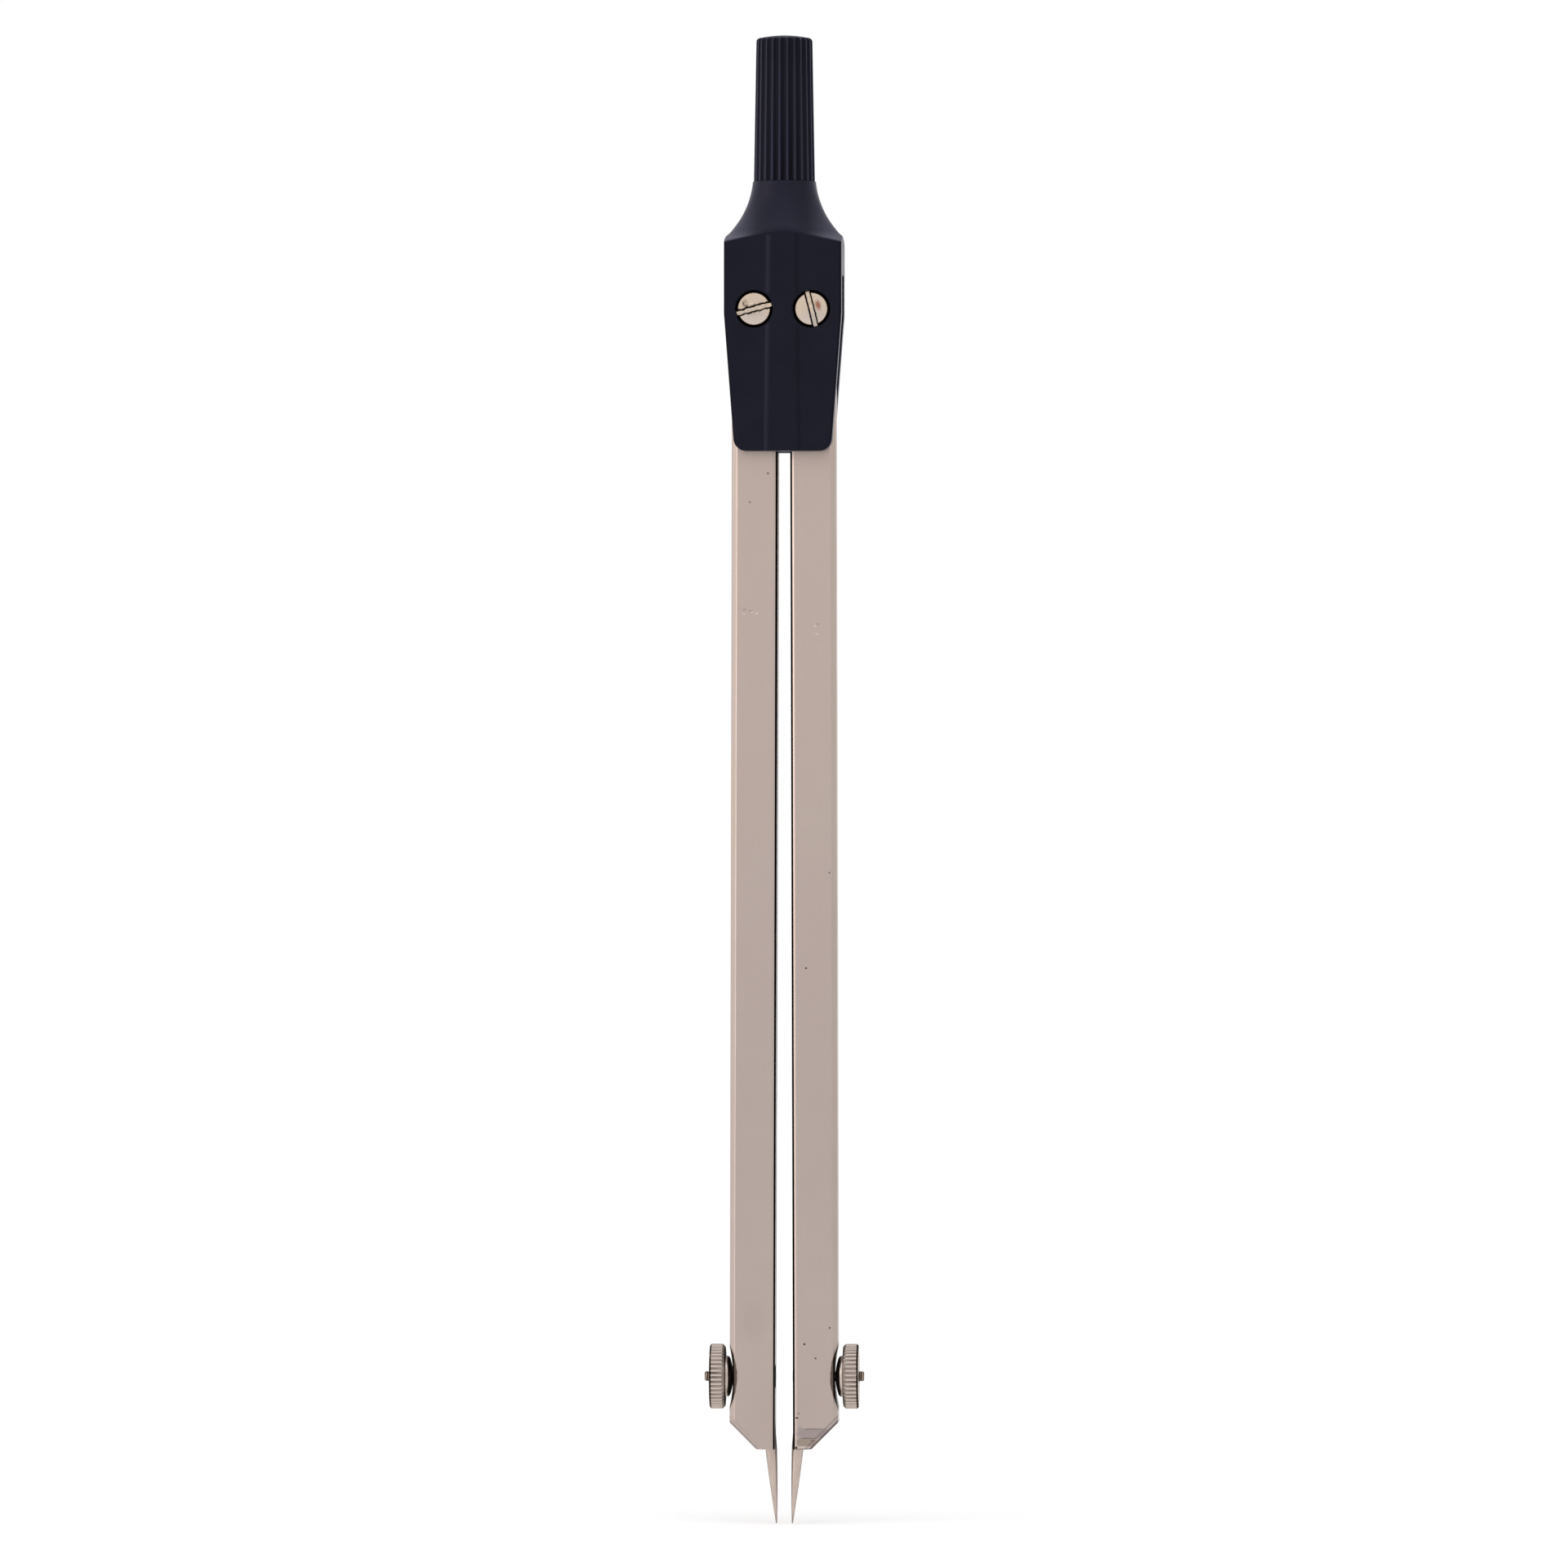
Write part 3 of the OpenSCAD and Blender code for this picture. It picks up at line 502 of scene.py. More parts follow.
def ribbedHandle(look):
    step = 2 * pi / look["ribs"]
    halfFlute = look["fluteWidth"] / 2
    fluteRadius = (halfFlute ** 2 + look["fluteDepth"] ** 2) / (2 * look["fluteDepth"])
    edgeRadius = look["topRadius"] - look["topRound"]
    flat = look["length"] - look["crown"] - look["topRound"]
    crownRadius = (edgeRadius ** 2 + look["crown"] ** 2) / (2 * look["crown"])
    side = list(zip(spaced(look["footRadius"], look["topRadius"], look["rows"]), spaced(0, flat, look["rows"])))
    corner = arc((edgeRadius, flat), look["topRound"], 0, 90, 8)[1:]
    crown = [(edgeRadius * share, look["length"] - crownRadius
              + sqrt(crownRadius ** 2 - (edgeRadius * share) ** 2)) for share in look["crownRings"]]
    profile = [(0, look["boreLength"]), (look["boreRadius"], look["boreLength"]), (look["boreRadius"], 0),
               (look["footRadius"] * look["footShare"], 0)] + side + corner + crown
    ringLow, ringHigh = corner[4][1] - 0.001, corner[-1][1] - 0.001  # painted highlight on the rounded edge, under a crown painted black as shade
    rows = []
    for radius, height in profile:
        outer = look["footRadius"] + (look["topRadius"] - look["footRadius"]) * height / flat
        row = []
        for k in range(look["columns"] + 1):
            angle = step * (k / look["columns"] - 0.5)
            offset = abs(outer * sin(angle))  # flute in the middle of the wedge
            land = 0
            if offset < halfFlute:
                floor = outer + fluteRadius - look["fluteDepth"] - sqrt(fluteRadius ** 2 - offset ** 2)
            else:
                land = (offset - halfFlute) / (outer * step / 2 - halfFlute)
                floor = outer - look["crestRound"] * (1 - land) ** 2
            # painted shade deepens into each flute; a painted highlight lies on the lands between
            depth = limited((outer - floor) / look["fluteDepth"])
            pale = limited(look["paleFrom"] + land) if land else 0
            if height > ringLow:
                depth, pale = (0, 1) if height < ringHigh else (1, 0)
            row.append((spun(min(radius, floor), angle, height), depth, pale, 1 if height > ringHigh else 0))
        rows.append(row)
    bm = bmesh.new()
    paintedSkin(bm, rows, ("flute", "painted_highlight", "outline"))
    handle = closeMesh(bm, "ribbed_handle", blackAbs)
    grow(handle, ringTree, {"Rib Count": look["ribs"], "Weld Distance": 0.001, "Finish": blackAbs})
    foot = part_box("handle")[0].z * 1000
    return settle(handle, "head", "handle", Matrix.Translation((0, 0, foot)), sharp=40)


ribbedHandle(handleLook)
print("handle made")

pivot = Vector(joints["right_leg_swing"]["pos_m"]) * 1000


def pivotFrame(side, y, out=1, across=(1, 0, 0)):  # local Z to the rear, or to the front with out -1
    return axisFrame((sides[side] * pivot.x, y, pivot.z), (0, out, 0), across)


yokeLook = {"halfWidth": 6.5, "footHalf": 5.35, "halfDepth": 5.82, "footDrop": 15.7, "taperDrop": 0.5,
            "footRound": 1.4, "shoulderUp": 8.2, "shoulderFall": 0.75, "neckHeight": 6.1, "neckLead": 0.9,
            "neckRadius": 3.5, "neckLip": 0.1, "stemRadius": 2, "stemLength": 13.7, "edgeRound": 0.22,
            "archRound": 0.3, "easeDown": 0.25, "easeUp": 0.9, "denseDown": 1.3, "fineUp": 0.4,
            "bandTop": 1.45, "bandFoot": 1.85, "bandLift": 0.06, "bandStep": 0.09, "bandPale": (0.55, 0.3),
            "bandDark": (0.3, 0.2), "edgeLine": 0.9, "columns": (14, 36, 48), "cornerSteps": 6,
            "rows": (10, 10, 6, 56, 56), "neckPale": 0.25,
            "neckFrom": 1.2, "cornerSheen": 0.8, "sheenFrom": 2.4, "sheenOver": 3.4, "sheenSides": 0.45, "sheenDeep": 4,
            "slotHalf": 2.82, "roofUp": 3.888, "boreRadius": 2.1, "boreDepth": 1.35, "boreLip": 0.12,
            "pivotRadius": 1.05, "hexFlats": 4.1, "hexDepth": 1.75, "hexLip": 0.08, "hexFlare": 0.18,
            "hexPast": 0.1, "boreFlare": (0.3, 0.02), "past": 1}


def mouldedYoke(look):
    footZ, taperZ = pivot.z - look["footDrop"], pivot.z - look["taperDrop"]
    shoulderZ = pivot.z + look["shoulderUp"]
    rise, lead, neck, lip = look["neckHeight"], look["neckLead"], look["neckRadius"], look["neckLip"]
    neckZ = shoulderZ + rise
    half, depth, edge, toe = look["halfWidth"], look["halfDepth"], look["edgeRound"], look["footRound"]
    slope = atan((half - look["footHalf"]) / (taperZ - footZ))
    cornerX, cornerZ = look["footHalf"] + toe * (tan(slope) - 1 / cos(slope)), footZ + toe
    arcX = (rise ** 2 + 2 * rise * lead) / (2 * (half - neck)) + (neck + half) / 2
    arcR = hypot(arcX - neck, lead)
    fall = look["shoulderFall"] / (hypot(half, depth) - half)
    third, flank, rear = look["columns"]
    bends = look["cornerSteps"]

    def halfWidthAt(z):
        if z < cornerZ - toe * sin(slope):
            return cornerX + sqrt(max(0, toe ** 2 - (z - cornerZ) ** 2))
        return min(half, half - (taperZ - z) * tan(slope)) if z < taperZ else half

    def flare(z):
        return arcX - sqrt(arcR ** 2 - (z - neckZ - lead) ** 2)

    def neckAt(z):  # radius that the trumpet neck and the sloping shoulders leave, eased where they meet
        low, high = shoulderZ - look["easeDown"], shoulderZ + look["easeUp"]
        if z >= high:
            return flare(z)
        if z <= low:
            return half + (shoulderZ - z) / fall
        span = high - low
        t = (z - low) / span
        climb = (flare(high + 0.01) - flare(high)) / 0.01
        return ((1 + 2 * t) * (1 - t) ** 2 * (half + look["easeDown"] / fall) - t * (1 - t) ** 2 * span / fall
                + t * t * (3 - 2 * t) * flare(high) + t * t * (t - 1) * span * climb)

    def section(z):
        a, b = halfWidthAt(z), depth
        if z - footZ < edge:
            b = depth - edge + sqrt(edge ** 2 - (edge - (z - footZ)) ** 2)
        band = look["bandFoot"] + (look["bandTop"] - look["bandFoot"]) * limited((z - footZ) / (neckZ - footZ))
        step, low = look["bandStep"], -b + look["bandLift"]
        inX, frontY, rearY = a - edge, low + edge, b - edge
        points = [(x, low if abs(x) > band else -b)
                  for start, end in ((-inX, -band - step), (step - band, band - step), (band + step, inX))
                  for x in spaced(start, end, third)]
        rounds = ((inX, frontY), (inX, rearY), (-inX, rearY), (-inX, frontY))
        runs = ([(a, y) for y in spaced(frontY, rearY, flank)], [(x, b) for x in spaced(inX, -inX, rear)],
                [(-a, y) for y in spaced(rearY, frontY, flank)], [])
        for k, (centre, run) in enumerate(zip(rounds, runs)):  # each corner and the side after it
            points += arc(centre, edge, 90 * k - 90, 90 * k, bends)[1:] + run[1:]
        limit, blend, row = neckAt(z), look["archRound"], []
        for x, y in points[:-1]:
            far = hypot(x, y)
            mix = limited(0.5 + 0.5 * (limit - far) / blend)
            near = limit + (far - limit) * mix - blend * mix * (1 - mix)
            row.append(Vector((x * near / far, y * near / far, z)))
        return row

    denseZ, fineZ = shoulderZ - look["denseDown"], shoulderZ + look["fineUp"]
    lipZ = neckZ - lip
    heights = [footZ + edge * (1 - cos(pi / 2 * k / 5)) for k in range(6)]
    levels = (footZ + edge, cornerZ, taperZ, denseZ, fineZ, lipZ)
    for start, end, count in zip(levels, levels[1:], look["rows"]):
        heights += spaced(start, end, count)[1:]
    rows = [[Vector((0, 0, footZ))] * len(section(taperZ))] + [section(z) for z in heights]
    top = rows[-1]
    for k in range(1, 5):  # rounded lip under the handle
        turn = pi / 2 * k / 4
        inset = lip * (1 - cos(turn))
        rows.append([Vector((p.x * (1 - inset / p.xy.length), p.y * (1 - inset / p.xy.length),
                             lipZ + lip * sin(turn))) for p in top])
    for radius, z in ((look["stemRadius"], neckZ), (look["stemRadius"], neckZ + look["stemLength"]),
                      (0, neckZ + look["stemLength"])):
        rows.append([Vector((p.x * radius / p.xy.length, p.y * radius / p.xy.length, z)) for p in top])
    corners = [3 * third + 3]
    for run in (flank, rear, flank):
        corners.append(corners[-1] + bends + run)
    bandLines = [(third + k, pale, 0) for k, pale in enumerate(look["bandPale"])]
    bandLines += [(2 * third + 1 + k, 0, dark) for k, dark in enumerate(look["bandDark"])]
    bm = bmesh.new()
    outline, painted_highlight, painted_sheen = [bm.verts.layers.float.new(name) for name in ("outline", "painted_highlight", "painted_sheen")]
    for row in skin(bm, rows):
        for vert in row:  # painted highlight over the neck, and a painted sheen towards its corners
            if denseZ < vert.co.z < neckZ:
                onNeck = limited(look["neckFrom"] + (vert.co.xy.length - neckAt(vert.co.z)) / look["archRound"])
                aside = limited((abs(vert.co.x) - look["sheenFrom"]) / look["sheenOver"])
                forward = look["sheenSides"] + (1 - look["sheenSides"]) * min(1, abs(vert.co.y) / look["sheenDeep"])
                vert[painted_highlight] = look["neckPale"] * onNeck
                vert[painted_sheen] = look["cornerSheen"] * onNeck * forward * aside * aside * (3 - 2 * aside)
        for vert in [vert for start in corners for vert in row[start:start + bends]]:  # painted shade: black lines down the upright edges
            if vert.co.z < shoulderZ - look["shoulderFall"]:
                vert[outline] = look["edgeLine"]
        for column, pale, dark in bandLines:  # painted highlight on one side of the raised band, painted shade on the other
            if row[column].co.z < shoulderZ:
                row[column][painted_highlight], row[column][outline] = pale, dark
    yoke = closeMesh(bm, "moulded_yoke", blackAbs)

    past, boreLip, bore = look["past"], look["boreLip"], look["boreRadius"]
    roofZ = pivot.z + look["roofUp"]
    tall = roofZ - footZ + 2 * past
    slotCut = bmesh.new()
    bmesh.ops.create_cube(slotCut, size=1)
    slotCut.transform(Matrix.Translation((0, 0, roofZ - tall / 2))
                      @ Matrix.Diagonal((4 * half, 2 * look["slotHalf"], tall, 1)))
    cutters = [closeMesh(slotCut, "slot_cut", blackAbs)]
    face, floor = -depth + look["bandLift"] * 0.5, -depth + look["boreDepth"]
    wider, before = look["boreFlare"]
    boreProfile = ([(0, -depth - past), (bore + boreLip + wider, -depth - past), (bore + boreLip, face - before)]
                   + arc((bore + boreLip, face + boreLip), boreLip, 270, 180, 5)
                   + [(bore, floor), (look["pivotRadius"], floor), (look["pivotRadius"], depth + past),
                      (0, depth + past)])
    hexRadius = look["hexFlats"] / 2 / cos(pi / 6)
    hexFloor, hexTop = depth - look["hexDepth"], depth + look["hexPast"]
    hexProfile = [(0, hexFloor), (hexRadius, hexFloor), (hexRadius, depth - look["hexLip"]),
                  (hexRadius + look["hexFlare"], hexTop), (0, hexTop)]
    for side in sides:
        for name, profile, steps in (("bore_cut", boreProfile, 96), ("hex_cut", hexProfile, 6)):
            cut = bmesh.new()
            turned(cut, profile, steps)
            cut.transform(pivotFrame(side, 0))
            cutters.append(closeMesh(cut, name, blackAbs))
    carve(yoke, cutters)
    return settle(yoke, "head", "yoke")


mouldedYoke(yokeLook)
print("yoke made")

screwLook = {"headRadius": 1.98, "headHeight": 1.2, "face": -5.67, "shankRadius": 1, "shankEnd": 5.67,
             "endBevel": 0.2, "slotHalf": 0.325, "slotDepth": 0.5, "edgeRound": 0.2, "rim": 1.71, "crown": 0.08,
             "columns": 96, "tearScale": 2.2, "raggedScale": 3.4, "raggedMore": 0.25, "floorBumps": 0.03,
             "wallDirtShade": (0.14, 0.04), "floorDirt": 5, "burrReach": 0.06, "lipDirtShade": (1.7, 0.045), "rimReach": 0.05,
             "gougeShade": 0.75, "rustFleck": 0.6, "rustGain": 1.4,
             "slotRows": (-0.16, -0.12, -0.09, -0.05, -0.012, 0.012, 0.03, 0.05, 0.08, 0.13),
             "left": {"angle": 15, "burr": 0.06, "torn": 0.09, "chewed": 0.1, "seed": 3.1,
                      "gouges": [(-0.75, 0.55, 0.36, 0.12, 0.08), (-0.1, 0.5, 0.34, 0.1, 0.07),
                                 (-0.95, 0.85, 0.16, 0.4, 0.05), (-0.2, -0.5, 0.5, 0.08, 0.05),
                                 (0.45, -0.42, 0.2, 0.07, 0.05)], "rust": []},
             "right": {"angle": 104, "burr": 0.035, "torn": 0.025, "chewed": 0.02, "seed": 8.7,
                       "gouges": [(1.2, -0.55, 0.22, 0.08, 0.05), (-0.6, -0.5, 0.3, 0.05, 0.04)],
                       "rust": [(0.2, -0.82, 0.75, 0.42)]}}


def slottedScrew(side, look):
    own = look[side]
    radius, half, seed = look["headRadius"], look["slotHalf"], own["seed"]

    def faceAt(u, v):  # height, painted shade with dirt, and rust, with u along the slot and v across it
        far = hypot(u, v)
        tear = own["torn"] * noise.noise(Vector((u * look["tearScale"], seed, 0.4 if v > 0 else 7.9)))
        past = abs(v) - half - tear
        h = -look["crown"] * (far / radius) ** 2
        rim = far - (radius - look["edgeRound"])
        if rim > 0:
            share = min(1, rim / look["edgeRound"])
            h -= look["edgeRound"] * (1 - sqrt(1 - share * share))
        ragged = noise.noise(Vector((u * look["raggedScale"], 2 if v > 0 else 5, seed)))
        ragged = max(0, ragged + look["raggedMore"])
        if past < 0:  # in the slot: painted shade along its walls, dirt spots on its floor
            h = -look["slotDepth"] + look["floorBumps"] * noise.noise(Vector((u * 3, v * 9, seed)))
            start, reach = look["wallDirtShade"]
            spots = max(0, noise.noise(Vector((u * 5, v * 8, seed))))
            dirt_and_shade = limited((past + start) / reach) + own["chewed"] * look["floorDirt"] * spots
        else:  # on the face: a burr beside the slot with dirt and painted shade along it, and painted shade round the rim
            h += own["burr"] * ragged * exp(-past / look["burrReach"])
            most, reach = look["lipDirtShade"]
            dirt_and_shade = most - past / (reach + own["chewed"] * ragged)
            dirt_and_shade = max(dirt_and_shade, min(1, (far - look["rim"]) / look["rimReach"]))
        # painted shade in the gouges
        for gu, gv, length, width, deep in own["gouges"]:
            reach = ((u - gu) / length) ** 2 + ((v - gv) / width) ** 2
            if reach < 2 and past > 0:
                h -= deep * max(0, 1 - reach)
                dirt_and_shade = max(dirt_and_shade, look["gougeShade"] * max(0, 1 - reach))
        rust = max([0] + [1 - hypot((u - ru) / du, (v - rv) / dv) for ru, rv, du, dv in own["rust"]])
        rust *= 1 + look["rustFleck"] * noise.noise(Vector((u * 6, v * 6, seed)))
        return h, limited(dirt_and_shade), min(1, look["rustGain"] * rust)

    spread = [radius * sin(radians(d)) for d in range(-90, 91, 4)]
    spread = [v for v in spread if abs(abs(v) - half) > -look["slotRows"][0]]
    spread = sorted(spread + [sign * (half + d) for sign in (-1, 1) for d in look["slotRows"]])
    rows = []
    for v in spread:
        chord = sqrt(max(0, radius * radius - v * v))
        across = [chord * sin(pi / 2 * (2 * k / look["columns"] - 1)) for k in range(look["columns"] + 1)]
        seen = [(u, *faceAt(u, v)) for u in across]
        rows.append([(Vector((u, v, h)), dirt_and_shade, rust) for u, h, dirt_and_shade, rust in seen])
    bm = bmesh.new()
    made = paintedSkin(bm, rows, ("dirt_and_shade", "rust"))
    tips = [row[-1].co.copy() for row in made] + [row[0].co.copy() for row in reversed(made)]
    length, bevel = look["shankEnd"] - look["face"], look["endBevel"]
    shank = look["shankRadius"] / radius
    levels = [(1, -look["headHeight"]), (shank, -look["headHeight"]), (shank, -length + bevel),
              ((look["shankRadius"] - bevel) / radius, -length), (0, -length)]
    skin(bm, [tips] + [[Vector((p.x * scale, p.y * scale, level)) for p in tips] for scale, level in levels])
    screw = closeMesh(bm, side + "_slotted_screw", screwNickel)
    angle = radians(own["angle"])
    place = pivotFrame(side, look["face"], -1, (cos(angle), 0, sin(angle)))
    return settle(screw, "head", side + "_pivot_screw", place, sharp=50)


for side in sides:
    slottedScrew(side, screwLook)
print("pivot screws made")

hexNutLook = {"flats": 4, "height": 1.6, "near": 4.07, "boreRadius": 1.01, "boreBevel": 0.12, "chamfer": 0.1,
              "coneSlope": 1.2, "columns": 96, "rows": 24}
washerLook = {"radius": 2.7, "thickness": 0.3, "boreRadius": 1.05, "round": 0.06, "slotHalf": 2.82, "columns": 72}


def hexNut(side, look):
    apothem, top = look["flats"] / 2, look["height"]
    bore, bevel = look["boreRadius"], look["boreBevel"]
    angles = [2 * pi * k / look["columns"] for k in range(look["columns"])]
    rows = [[spun(bore, a, bevel) for a in angles], [spun(bore + bevel, a, 0) for a in angles]]
    for h in spaced(0, top, look["rows"]):  # corners taken off by two chamfer cones
        cone = apothem + look["chamfer"] + min(h, top - h) * look["coneSlope"]
        rows.append([spun(min(apothem / cos(a % (pi / 3) - pi / 6), cone), a, h) for a in angles])
    rows += [[spun(bore + bevel, a, top) for a in angles], [spun(bore, a, top - bevel) for a in angles], rows[0]]
    bm = bmesh.new()
    skin(bm, rows)
    nut = closeMesh(bm, side + "_hex_nut", zincSteel)
    return settle(nut, "head", side + "_pivot_nut", pivotFrame(side, look["near"]), sharp=25)


def frictionWasher(side, face, look):
    bm = bmesh.new()
    r, t = look["round"], look["thickness"]
    outer, inner = look["radius"] - r, look["boreRadius"] + r
    ring = []
    for centre, start in (((outer, r), -90), ((outer, t - r), 0), ((inner, t - r), 90), ((inner, r), 180)):
        ring += arc(centre, r, start, start + 90, 4)
    turned(bm, ring + ring[:1], look["columns"])
    washer = closeMesh(bm, f"{side}_{face}_nylon_washer", whiteNylon)
    near = -look["slotHalf"] if face == "front" else look["slotHalf"] - t
    return settle(washer, "head", f"{side}_{face}_washer", pivotFrame(side, near))


for side in sides:
    hexNut(side, hexNutLook)
    for face in ("front", "rear"):
        frictionWasher(side, face, washerLook)
print("pivot nuts and washers made")

legLook = {"edge": 0.08, "edgeSteps": 3, "angle": 20, "weld": 0.002, "flatAngle": 0.4, "open": 0.16, "halfWidth": 2.5,
           "lineReach": {"left": 0.56, "right": 0.72}}


def barLeg(side, look):
    mesh = frame["nodes"][side + "_leg"].data.copy()
    mesh.transform(toMetres.inverted())
    bm = bmesh.new()
    bm.from_mesh(mesh)
    bmesh.ops.remove_doubles(bm, verts=bm.verts, dist=look["weld"])
    bmesh.ops.dissolve_limit(bm, angle_limit=radians(look["flatAngle"]), verts=bm.verts, edges=bm.edges)
    for face in bm.faces:
        face.smooth = True
    leg = closeMesh(bm, side + "_bar_leg", legNickel)
    bpy.data.meshes.remove(mesh)
    soft = leg.modifiers.new("soft_edges", "BEVEL")
    soft.width = look["edge"]
    soft.segments = look["edgeSteps"]
    soft.limit_method = "ANGLE"
    soft.angle_limit = radians(look["angle"])
    soft.use_clamp_overlap = False
    flat = leg.modifiers.new("flat_faces", "WEIGHTED_NORMAL")
    flat.weight = 100
    bpy.context.view_layer.update()
    baked(leg)
    # painted shade by distance from the inner side: all over that side, and a line along its edges
    turn = radians(look["open"])
    dirtShade = leg.data.attributes.new("dirt_and_shade", "FLOAT", "POINT")
    for vert, cell in zip(leg.data.vertices, dirtShade.data):
        across = ((vert.co.x * sides[side] - pivot.x) * cos(turn) + (vert.co.z - pivot.z) * sin(turn)
                  + look["halfWidth"])
        cell.value = 1 - across / look["lineReach"][side]
    return settle(leg, side + "_leg", side + "_leg", sharp=None)


for side in sides:
    barLeg(side, legLook)
print("legs made")

thumbLook = {"seat": 2.182, "rim": 3.02, "thick": 1.73, "radius": 3.6, "bevel": 0.18, "seatBevel": 0.3, "ridges": 44,
             "depth": 0.15, "bossRadius": 2.3, "bossRound": 0.45, "faceRadius": 6, "boreRadius": 0.63,
             "boreBevel": 0.2, "columns": 10, "valleyDirtShade": 0.55, "faceShade": 0.3, "faceRings": (1.7, 1.35, 1),
             "rootLine": 0.04, "ridgeWave": 0.95,
             "bossShade": ((90, 0), (80, 0), (70, 0), (62, 0.1), (56, 1.2), (48, 2), (40, 2), (30, 0.9), (19.5, 0.4))}


def thumbNut(side, look):
    step = 2 * pi / look["ridges"]
    outer = look["rim"] + look["thick"]
    face, soft, boss, bore = look["faceRadius"], look["bossRound"], look["bossRadius"], look["boreRadius"]
    faceUp = look["seat"] + sqrt(face ** 2 - bore ** 2)
    softUp = faceUp - sqrt((face - soft) ** 2 - (boss - soft) ** 2)
    # the boss: a dark painted line at its root, a clean bright band, painted shade round its rounded edge and a brown
    # painted reflection on its face
    dome = [(boss, look["rim"], 2), (boss, look["rim"] - look["rootLine"], 0.2)]
    for degrees, dirtShade in look["bossShade"]:
        lean = radians(degrees)
        dome.append((boss - soft + soft * sin(lean), softUp - soft * cos(lean), dirtShade))
    for reach in (*look["faceRings"], bore):
        dome.append((reach, faceUp - sqrt(face ** 2 - reach ** 2), look["faceShade"]))
    bevel, back, radius, rim = look["bevel"], look["seatBevel"], look["radius"], look["rim"]
    start = (bore, outer - look["boreBevel"], 0.6)
    # radius, height and painted shade with dirt: out over the outer face, down the knurl, and in over the rim to the
    # dome; the dark bevel lines are painted shade
    profile = [start, (bore + look["boreBevel"], outer, 0.3), (1.6, outer, 0.05), (2.6, outer, 0.05),
               (radius - bevel - 0.05, outer, 0.1), (radius - bevel, outer - 0.01, 1.4),
               (radius - bevel * 0.5, outer - bevel * 0.5, 1.5), (radius, outer - bevel, 1.4),
               (radius, outer - bevel - 0.03, 0.05), (radius, outer - bevel - 0.3, 0), (radius, rim + back + 0.3, 0),
               (radius, rim + back + 0.03, 0.05), (radius, rim + back, 0.6),
               (radius - back * 0.5, rim + back * 0.5, 0.35), (radius - back, rim + 0.01, 0.45),
               (radius - back - 0.05, rim, 1.4), (2.7, rim, 1.4)] + dome + [(bore, look["seat"], 0.6), start]
    rows = []
    for r, h, dirtShade in profile:
        row = []
        for k in range(look["columns"] + 1):
            share = k / look["columns"]
            wave = limited(0.5 - look["ridgeWave"] * cos(2 * pi * share))
            # painted shade with dirt in the knurl's valleys
            dirt_and_shade = max(dirtShade, look["valleyDirtShade"] * wave) if r > radius - back - 0.01 else dirtShade
            row.append((spun(min(r, radius - look["depth"] * wave), step * (share - 0.5), h), dirt_and_shade))
        rows.append(row)
    bm = bmesh.new()
    paintedSkin(bm, rows, ("dirt_and_shade",))
    nut = closeMesh(bm, side + "_knurled_nut", nutNickel)
    grow(nut, ringTree, {"Rib Count": look["ridges"], "Weld Distance": 0.001, "Finish": nutNickel})
    return settle(nut, side + "_thumb_nut", side + "_thumb_nut", clampFrame(side), sharp=38)


def clampFrame(side):  # local Z outward along the clamp
    hinge = joints[side + "_nut_turn"]
    return axisFrame(Vector(hinge["pos_m"]) * 1000, hinge["axis"], (0, -1, 0))


for side in sides:
    thumbNut(side, thumbLook)
print("thumb nuts made")

boltLook = {"eyeEnd": -2.55, "shoulder": 0.75, "studEnd": 5.35, "eyeRadius": 1.3, "studRadius": 0.6,
            "rootRadius": 0.52, "pitch": 0.25, "eyeRound": 0.1, "shoulderBevel": 0.05, "endBevel": (0.1, 0.12),
            "holeRadius": 0.82, "holeShift": 0.14, "holeFrom": 11.3, "holeLength": 10, "threadStart": 1.4,
            "threadLead": 0.14, "dirtShade": 0.9, "eyeDirt": 0.15, "columns": 56}
needleLook = {"radius": 0.65, "tipRadius": 0.06, "swell": 0.05, "out": 8.323, "inside": 14, "endBevel": 0.1,
              "rows": 28, "columns": 48, "tipRound": ((0.7, 0.012), (1, 0.05)), "tipDirt": (0.5, 1.2),
              "innerShade": (0.9, 0.7), "outerShade": (0.5, 0.75)}


def needleFrame(side):  # local Z up the needle from its tip
    up = -Vector(joints[side + "_needle_slide"]["axis"])
    low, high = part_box(side + "_needle")
    outer = (low.x if side == "left" else high.x) * 1000
    top = Vector((outer - sides[side] * needleLook["radius"] * up.z, 0,
                  high.z * 1000 - needleLook["radius"] * abs(up.x)))
    return axisFrame(top - up * (needleLook["out"] + needleLook["inside"]), up, (0, -1, 0))


